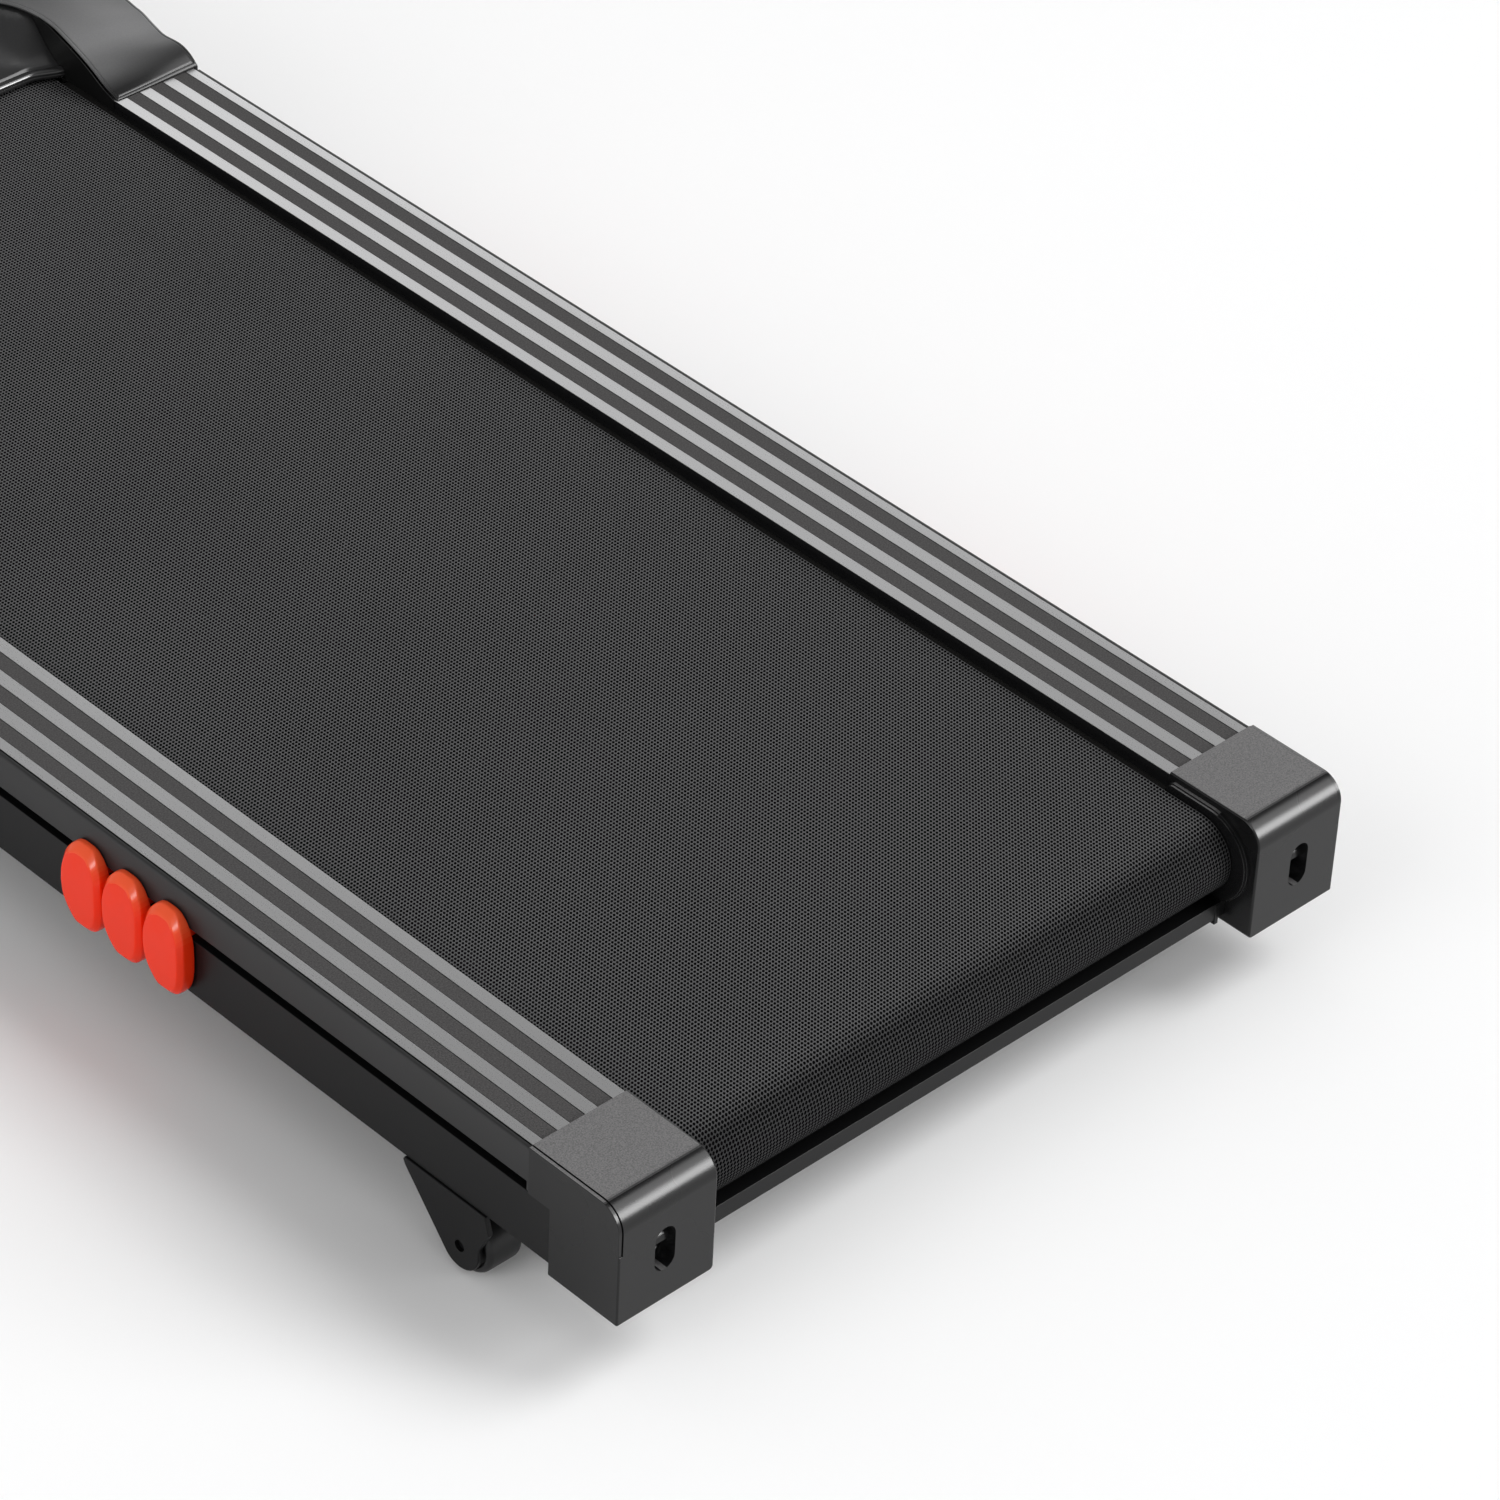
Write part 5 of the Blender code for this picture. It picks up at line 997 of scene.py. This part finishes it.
def make_wheel_plates():
    wheel_low, wheel_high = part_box("rear_wheel_right")
    _, *hub = (wheel_low + wheel_high) / 2
    (inner, rear, _), (outer, front, top) = PLATE_LOW, PLATE_HIGH

    def bar(radius, start, end):
        return turned([(0.0, start), (radius, start), (radius, end), (0.0, end)], (0.0, *hub))

    toe = (front - 0.0016, top - 0.0050)
    lean = math.atan2(toe[1] - hub[1], toe[0] - hub[0])
    touch = math.degrees(lean - math.acos(PLATE_ROUND / math.dist(toe, hub)))
    outline = [(rear - 0.0025, top), (front - 0.0012, top), (front, top - 0.0018), toe]
    outline += arc(hub, PLATE_ROUND, touch, -178, 26)
    outline += [(hub[0] - PLATE_ROUND + 0.0002, hub[1] + 0.006), (rear - 0.0060, top - 0.0120)]
    for name, side in SIDES:
        plate = rounded(extruded(outline, "x", outer - PLATE_THICK, outer), 0.0007)
        plate = carved(plate, bar(PIN_RADIUS + PIN_HOLE, outer - 0.0028, outer + 0.002))
        flange = extruded(rectangle(rear, top - 0.003, front - 0.004, top), "x",
                          inner, outer - PLATE_THICK + 0.0004)
        shapes = [plate, bar(PIN_RADIUS, inner + 0.001, outer - 0.0022), flange]
        evened(piece(f"wheel_plate_{name}", shapes, "frame_paint", "deck", (f"wheel_bracket_{name}",),
                     side=side))


# Handrail grips: foam sleeves of rounded square section with shallow rings

GRIP_SQUARE = 2 / 5.0
GRIP_RINGS = 9
GRIP_STEPS = 96
GRIP_END = 0.006
GRIP_SHARP = math.radians(60)
GRIP_ALONG = Vector((0.0, -0.3450, -0.0350)).normalized()
GRIP_ACROSS = Vector((0.0, -GRIP_ALONG.z, GRIP_ALONG.y))


def grip_width(along, reach):
    """A sleeve's share of its full width at that distance from its middle: ringed, with round ends."""
    end = reach - abs(along)
    share = 1.0 - 0.30 * (1.0 - min(1.0, end / GRIP_END)) ** 2.2
    if end > GRIP_END:
        phase = (along / (2 * reach) + 0.5) * (GRIP_RINGS + 1)
        share -= groove(phase, round(phase), 0.055, 0.11) * min(1.0, (end - GRIP_END) / GRIP_END)
    return share


def make_grips():
    for name, _ in SIDES:
        node = f"handrail_grip_{name}"
        low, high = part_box(node)
        half = (high[0] - low[0]) / 2
        reach = (high[1] - low[1]) / 2 / abs(GRIP_ALONG.y) - half * abs(GRIP_ALONG.z)
        rings = []
        for k in range(GRIP_STEPS + 1):
            along = -reach + 2 * reach * k / GRIP_STEPS
            middle = (low + high) / 2 + GRIP_ALONG * along
            wide = half * grip_width(along, reach)
            rings.append([middle + Vector((a * wide, 0.0, 0.0)) + GRIP_ACROSS * (b * wide)
                          for a, b in squarish(GRIP_SQUARE)])
        made = piece(f"foam_grip_{name}", [lofted(rings)], "foam", "base", (node,), GRIP_SHARP)


# Plugs in the uprights' open tops

PLUG_LIP = 0.0006
PLUG_SUNK = 0.0005
PLUG_HIGH = 0.0040
PLUG_ROUND = 0.0016


def make_upright_plugs():
    for name, _ in SIDES:
        points = points_of(f"upright_{name}")
        top = max(point.z for point in points)
        crown = [point for point in points if point.z > top - PLUG_SUNK]
        low = [min(point[k] for point in crown) - PLUG_LIP for k in (0, 1)]
        high = [max(point[k] for point in crown) + PLUG_LIP for k in (0, 1)]
        plug = extruded(rectangle(*low, *high), "z", top - PLUG_SUNK, top + PLUG_HIGH)
        evened(piece(f"upright_plug_{name}", [rounded(plug, PLUG_ROUND, 4)], "dark_plastic", "base"))


# Console: housing with round edges, framed display with lit figures, ringed buttons with plain signs

ACROSS = Vector((1.0, 0.0, 0.0))


def console_face():
    """The lower edge of the console's face in its middle, the way up the face, and the way out of it."""
    points = points_of("console_housing")
    low = min(points, key=lambda point: (round(point.y, 5), point.z))
    high = max(points, key=lambda point: (round(point.z, 5), -point.y))
    up = Vector((0.0, high.y - low.y, high.z - low.z)).normalized()
    return Vector((0.0, low.y, low.z)), up, Vector((0.0, -up.z, up.y))


FACE = console_face()
BACK_UP = Vector((0.0, -0.020, 0.145)).normalized()
BACK = (Vector((0.0, CONSOLE_HIGH[1], CONSOLE_LOW[2])), BACK_UP, Vector((0.0, BACK_UP.z, -BACK_UP.y)))


def on_face(x, up, out, face=FACE):
    return face[0] + ACROSS * x + face[1] * up + face[2] * out


def face_place(node):
    """A node's middle across and up the face, and how far it stands out."""
    foot, up, out = FACE
    heights = [(point - foot).dot(up) for point in points_of(node)]
    low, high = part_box(node)
    return ((low[0] + high[0]) / 2, (min(heights) + max(heights)) / 2,
            max((point - foot).dot(out) for point in points_of(node)))


def face_plate(outline, start, end, face=FACE):
    """An outline of (x, up) points on a face, drawn out from one height above it to another."""
    return lofted([[on_face(x, up, out, face) for x, up in outline] for out in (start, end)])


def face_ring(inner, outer, height):
    """A raised ring between two outlines of as many points, with a softened top."""
    rows = [[on_face(*part_way(a, b, share), out) for a, b in zip(inner, outer)]
            for share, out in ((0.0, -0.0004), (0.25, height), (0.75, height), (1.0, -0.0004))]
    return lofted(rows, closed=True)


def round_box(x, up, half_x, half_up, radius):
    """A rectangle with round corners, as (x, up) points."""
    made = []
    for way_x, way_up, start in ((1, 1, 0), (-1, 1, 90), (-1, -1, 180), (1, -1, 270)):
        corner = (x + way_x * (half_x - radius), up + way_up * (half_up - radius))
        made += arc(corner, radius, start, start + 90, 6)
    return made


COVER_UP = 0.073
VENTS, VENT_PITCH = 11, 0.016
# Rings of a screw's head: (radius, height above the back)
SCREW = ((0.0042, 0.0012), (0.0042, 0.0026), (0.0036, 0.0032), (0.0014, 0.0032), (0.0010, 0.0022))
SIGN_BAR = round_box(0, 0, 0.0042, 0.0009, 0.0004)
# The buttons' radii, and the look and outlines of their signs
BUTTONS = {
    "start_button": (0.0140, "button_white", [[(-0.0034, 0.0045), (-0.0034, -0.0045), (0.0048, 0.0)]]),
    "stop_button": (0.0140, "button_white", [round_box(0, 0, 0.0038, 0.0038, 0.0006)]),
    "speed_up_button": (0.0110, "dark_plastic", [SIGN_BAR, round_box(0, 0, 0.0009, 0.0042, 0.0004)]),
    "speed_down_button": (0.0110, "dark_plastic", [SIGN_BAR])}
# The display's readouts of two noughts each, and the colon between the first two, from its middle
READOUTS, COLON = (-0.062, -0.026, 0.022, 0.062), -0.044
DIGIT_PITCH = 0.0155
DIGIT_HALF_HIGH, DIGIT_HALF_WIDE, BAR_HALF = 0.0110, 0.0055, 0.00121


def console_shell():
    """The housing, with its long edges and the edges of its ends rounded."""
    housing = copied("console_housing")
    hull = [edge for edge in housing.edges if is_sharp(edge)
            and (all(abs(vertex.co.x) > CONSOLE_HIGH[0] - 0.0002 for vertex in edge.verts)
                 or abs(edge.verts[0].co.x - edge.verts[1].co.x) > 0.5)]
    return bevelled(housing, hull, 0.008, 6)


def back_cover():
    """The plate on the console's back, with its row of vents."""
    outline = round_box(0.0, COVER_UP, CONSOLE_HIGH[0] - 0.060, 0.046, 0.012)
    made = [rounded(face_plate(outline, -0.0010, 0.0016, BACK), 0.0008)]
    for k in range(VENTS):
        outline = round_box((k - VENTS // 2) * VENT_PITCH, COVER_UP, 0.0028, 0.024, 0.0027)
        made.append(rounded(face_plate(outline, 0.0010, 0.0030, BACK), 0.0006, 2))
    return made


def screws():
    return [lofted([[on_face(a, b, out, BACK) for a, b in circle(x, COVER_UP + rise, radius, 24)]
                    for radius, out in SCREW])
            for x in (0.072 - CONSOLE_HIGH[0], CONSOLE_HIGH[0] - 0.072) for rise in (-0.034, 0.034)]


def trims():
    """The frame round the display and a ring round each button."""
    x, up, _ = face_place("console_display")
    made = [face_ring(round_box(x, up, 0.1004, 0.0295, 0.0020), round_box(x, up, 0.1075, 0.0365, 0.0070),
                      0.0016)]
    for node, (radius, _, _) in BUTTONS.items():
        x, up, _ = face_place(node)
        made.append(face_ring(circle(x, up, radius + 0.0007), circle(x, up, radius + 0.0030), 0.0011))
    return made


def nought(x, up):
    """The six lit bars of a nought."""
    high, wide = DIGIT_HALF_HIGH, DIGIT_HALF_WIDE
    made = []
    for start, end in (((-wide, high), (wide, high)), ((wide, high), (wide, 0)),
                       ((wide, 0), (wide, -high)), ((-wide, -high), (wide, -high)),
                       ((-wide, 0), (-wide, -high)), ((-wide, high), (-wide, 0))):
        length = math.dist(start, end)
        dx, dy = (end[0] - start[0]) / length, (end[1] - start[1]) / length
        tip, shoulder = BAR_HALF * 0.5, BAR_HALF * 1.5
        bar = ((tip, 0), (shoulder, BAR_HALF), (length - shoulder, BAR_HALF), (length - tip, 0),
               (length - shoulder, -BAR_HALF), (shoulder, -BAR_HALF))
        made.append([(x + start[0] + dx * along - dy * off, up + start[1] + dy * along + dx * off)
                     for along, off in bar])
    return made


def digits():
    """The figures and the colon, lit through the display's lens."""
    x, up, top = face_place("console_display")
    outlines = []
    for middle in READOUTS:
        for step in (-0.5, 0.5):
            outlines += nought(x + middle + step * DIGIT_PITCH, up)
    outlines += [circle(x + COLON, up + step, 0.0011, 16) for step in (-0.0045, 0.0045)]
    return [face_plate(outline, top - 0.0003, top + 0.0002) for outline in outlines]


def make_console():
    evened(piece("console_shell", [console_shell()], "gloss_grey", "base", ("console_housing",)))
    piece("console_cover", back_cover(), "dark_plastic", "base")
    piece("console_screws", screws(), "bright_steel", "base", (), math.radians(40))
    piece("console_trim", trims(), "dark_plastic", "base", (), math.radians(20))
    piece("display_digits", digits(), "lit_digits", "base")
    for node, (_, look, outlines) in BUTTONS.items():
        x, up, top = face_place(node)
        shapes = []
        for k, outline in enumerate(outlines):
            places = [(x + a, up + b) for a, b in outline]
            shapes.append(face_plate(places, top - 0.0004, top + 0.0003 + 0.00005 * k))
        piece(node + "_sign", shapes, look, body_of(node))


# Carried-over forms whose edges only need softening, with the width of the softened edge

SKINS = [(f"{node}_{side}", width) for side, _ in SIDES for node, width in (
    ("base_tube", 0.0015), ("upright", 0.0035), ("base_foot_rear", 0.002), ("base_foot_front", 0.002),
    ("deck_tube", 0.0006), ("foot_rail", 0.0003), ("rail_grip", 0.0002), ("side_skirt", 0.0003),
    ("belt_adjust_bolt", 0.0003))]
SKINS += [("base_front_crossbar", 0.0015), ("base_rear_crossbar", 0.0012), ("rear_crossbar", 0.0006),
          ("middle_crossbar", 0.0012), ("motor_crossbar", 0.0006), ("running_board", 0.0008),
          ("console_display", 0.0006), ("belly_pan", 0.0008), ("control_box", 0.002),
          ("fold_lock_knob", 0.0012), ("power_switch", 0.0005)]
SKINS += [(node, 0.0008) for node in BUTTONS] + [("safety_key", 0.0012)]


# Light: a white room with a darker ceiling, and three broad far lights with the glints of two

ROOM_LEVEL = 0.47
# How far up the room each change of its level starts and ends, and the levels
CEILING = (0.50, 0.68, 1.0, 0.18)
OVERHEAD = (0.86, 0.96, 0.0, 0.7)
LAMP_DISTANCE = 5.0
# Name, direction that it comes from, its apparent width in degrees, strength, lights rough surfaces
LIGHTS = (("key_light", (0.50, -0.35, 0.79), 30.0, 1.22, True),
          ("rear_light", (0.566, -0.735, 0.37), 26.0, 1.55, True),
          ("left_light", (-0.85, 0.05, 0.52), 40.0, 0.62, True),
          ("rear_glint", (0.54, -0.70, 0.44), 30.0, 3.4, False),
          ("left_glint", (-0.80, -0.16, 0.58), 16.0, 1.20, False))
# Lights that would glare on the rails' metal
GLARING = ("rear_light", "rear_glint")


def rails_left_out():
    """The rails, as a collection that a light can leave out."""
    rails = bpy.data.collections.new("rails")
    for side, _ in SIDES:
        rails.objects.link(bpy.data.objects[f"foot_rail_{side}_skin"])
    for entry in rails.collection_objects:
        entry.light_linking.link_state = "EXCLUDE"
    return rails


def make_light():
    rails = rails_left_out()
    for name, direction, width, strength, broad in LIGHTS:
        data = bpy.data.lights.new(name, "SUN")
        data.energy = strength
        data.angle = math.radians(width)
        lamp = link(bpy.data.objects.new(name, data))
        lamp.location = Vector(direction) * LAMP_DISTANCE
        lamp.rotation_euler = Vector(direction).to_track_quat("Z", "Y").to_euler()
        lamp.visible_diffuse = broad
        if name in GLARING:
            lamp.light_linking.receiver_collection = rails
    world = bpy.data.worlds.new("room")
    bpy.context.scene.world = world
    world.use_nodes = True
    tree = world.node_tree
    rays = put(tree, "LightPath").outputs
    up = axes_of(tree, put(tree, "TexCoord").outputs["Generated"])["Z"]
    shown = math_node(tree, "MAXIMUM", ranged(tree, up, *CEILING), ranged(tree, up, *OVERHEAD))
    seen = math_node(tree, "MAXIMUM", rays["Is Camera Ray"],
                     math_node(tree, "MAXIMUM", rays["Is Glossy Ray"], rays["Is Transmission Ray"]))
    level = put(tree, "Mix", Factor=seen, A=ROOM_LEVEL, B=shown)
    back = tree.nodes["Background"]
    back.inputs["Color"].default_value = (1.0, 1.0, 1.0, 1.0)
    tree.links.new(level.outputs["Result"], back.inputs["Strength"])


FLOOR_REACH = 8.0


def make_floor():
    mesh = bpy.data.meshes.new("floor")
    corners = rectangle(-FLOOR_REACH, -FLOOR_REACH, FLOOR_REACH, FLOOR_REACH)
    mesh.from_pydata([(x, y, 0.0) for x, y in corners], [], [(0, 1, 2, 3)])
    look, _, _ = plain("floor", (0.95, 0.95, 0.952), 0.75, specular=0.1)
    mesh.materials.append(look)
    link(bpy.data.objects.new("floor", mesh))


make_camera()
LOOKS = make_materials()
for node in frame["nodes"].values():
    for slot in node.material_slots:
        slot.material = LOOKS[slot.name.split(".")[0]]
make_rear_caps()
make_shock_pads()
make_belt()
make_hood()
make_wheels()
make_wheel_plates()
make_grips()
make_upright_plugs()
make_console()
for node_name, width in SKINS:
    skin(node_name, width)
make_light()
make_floor()

bpy.context.scene.view_settings.view_transform = "Standard"
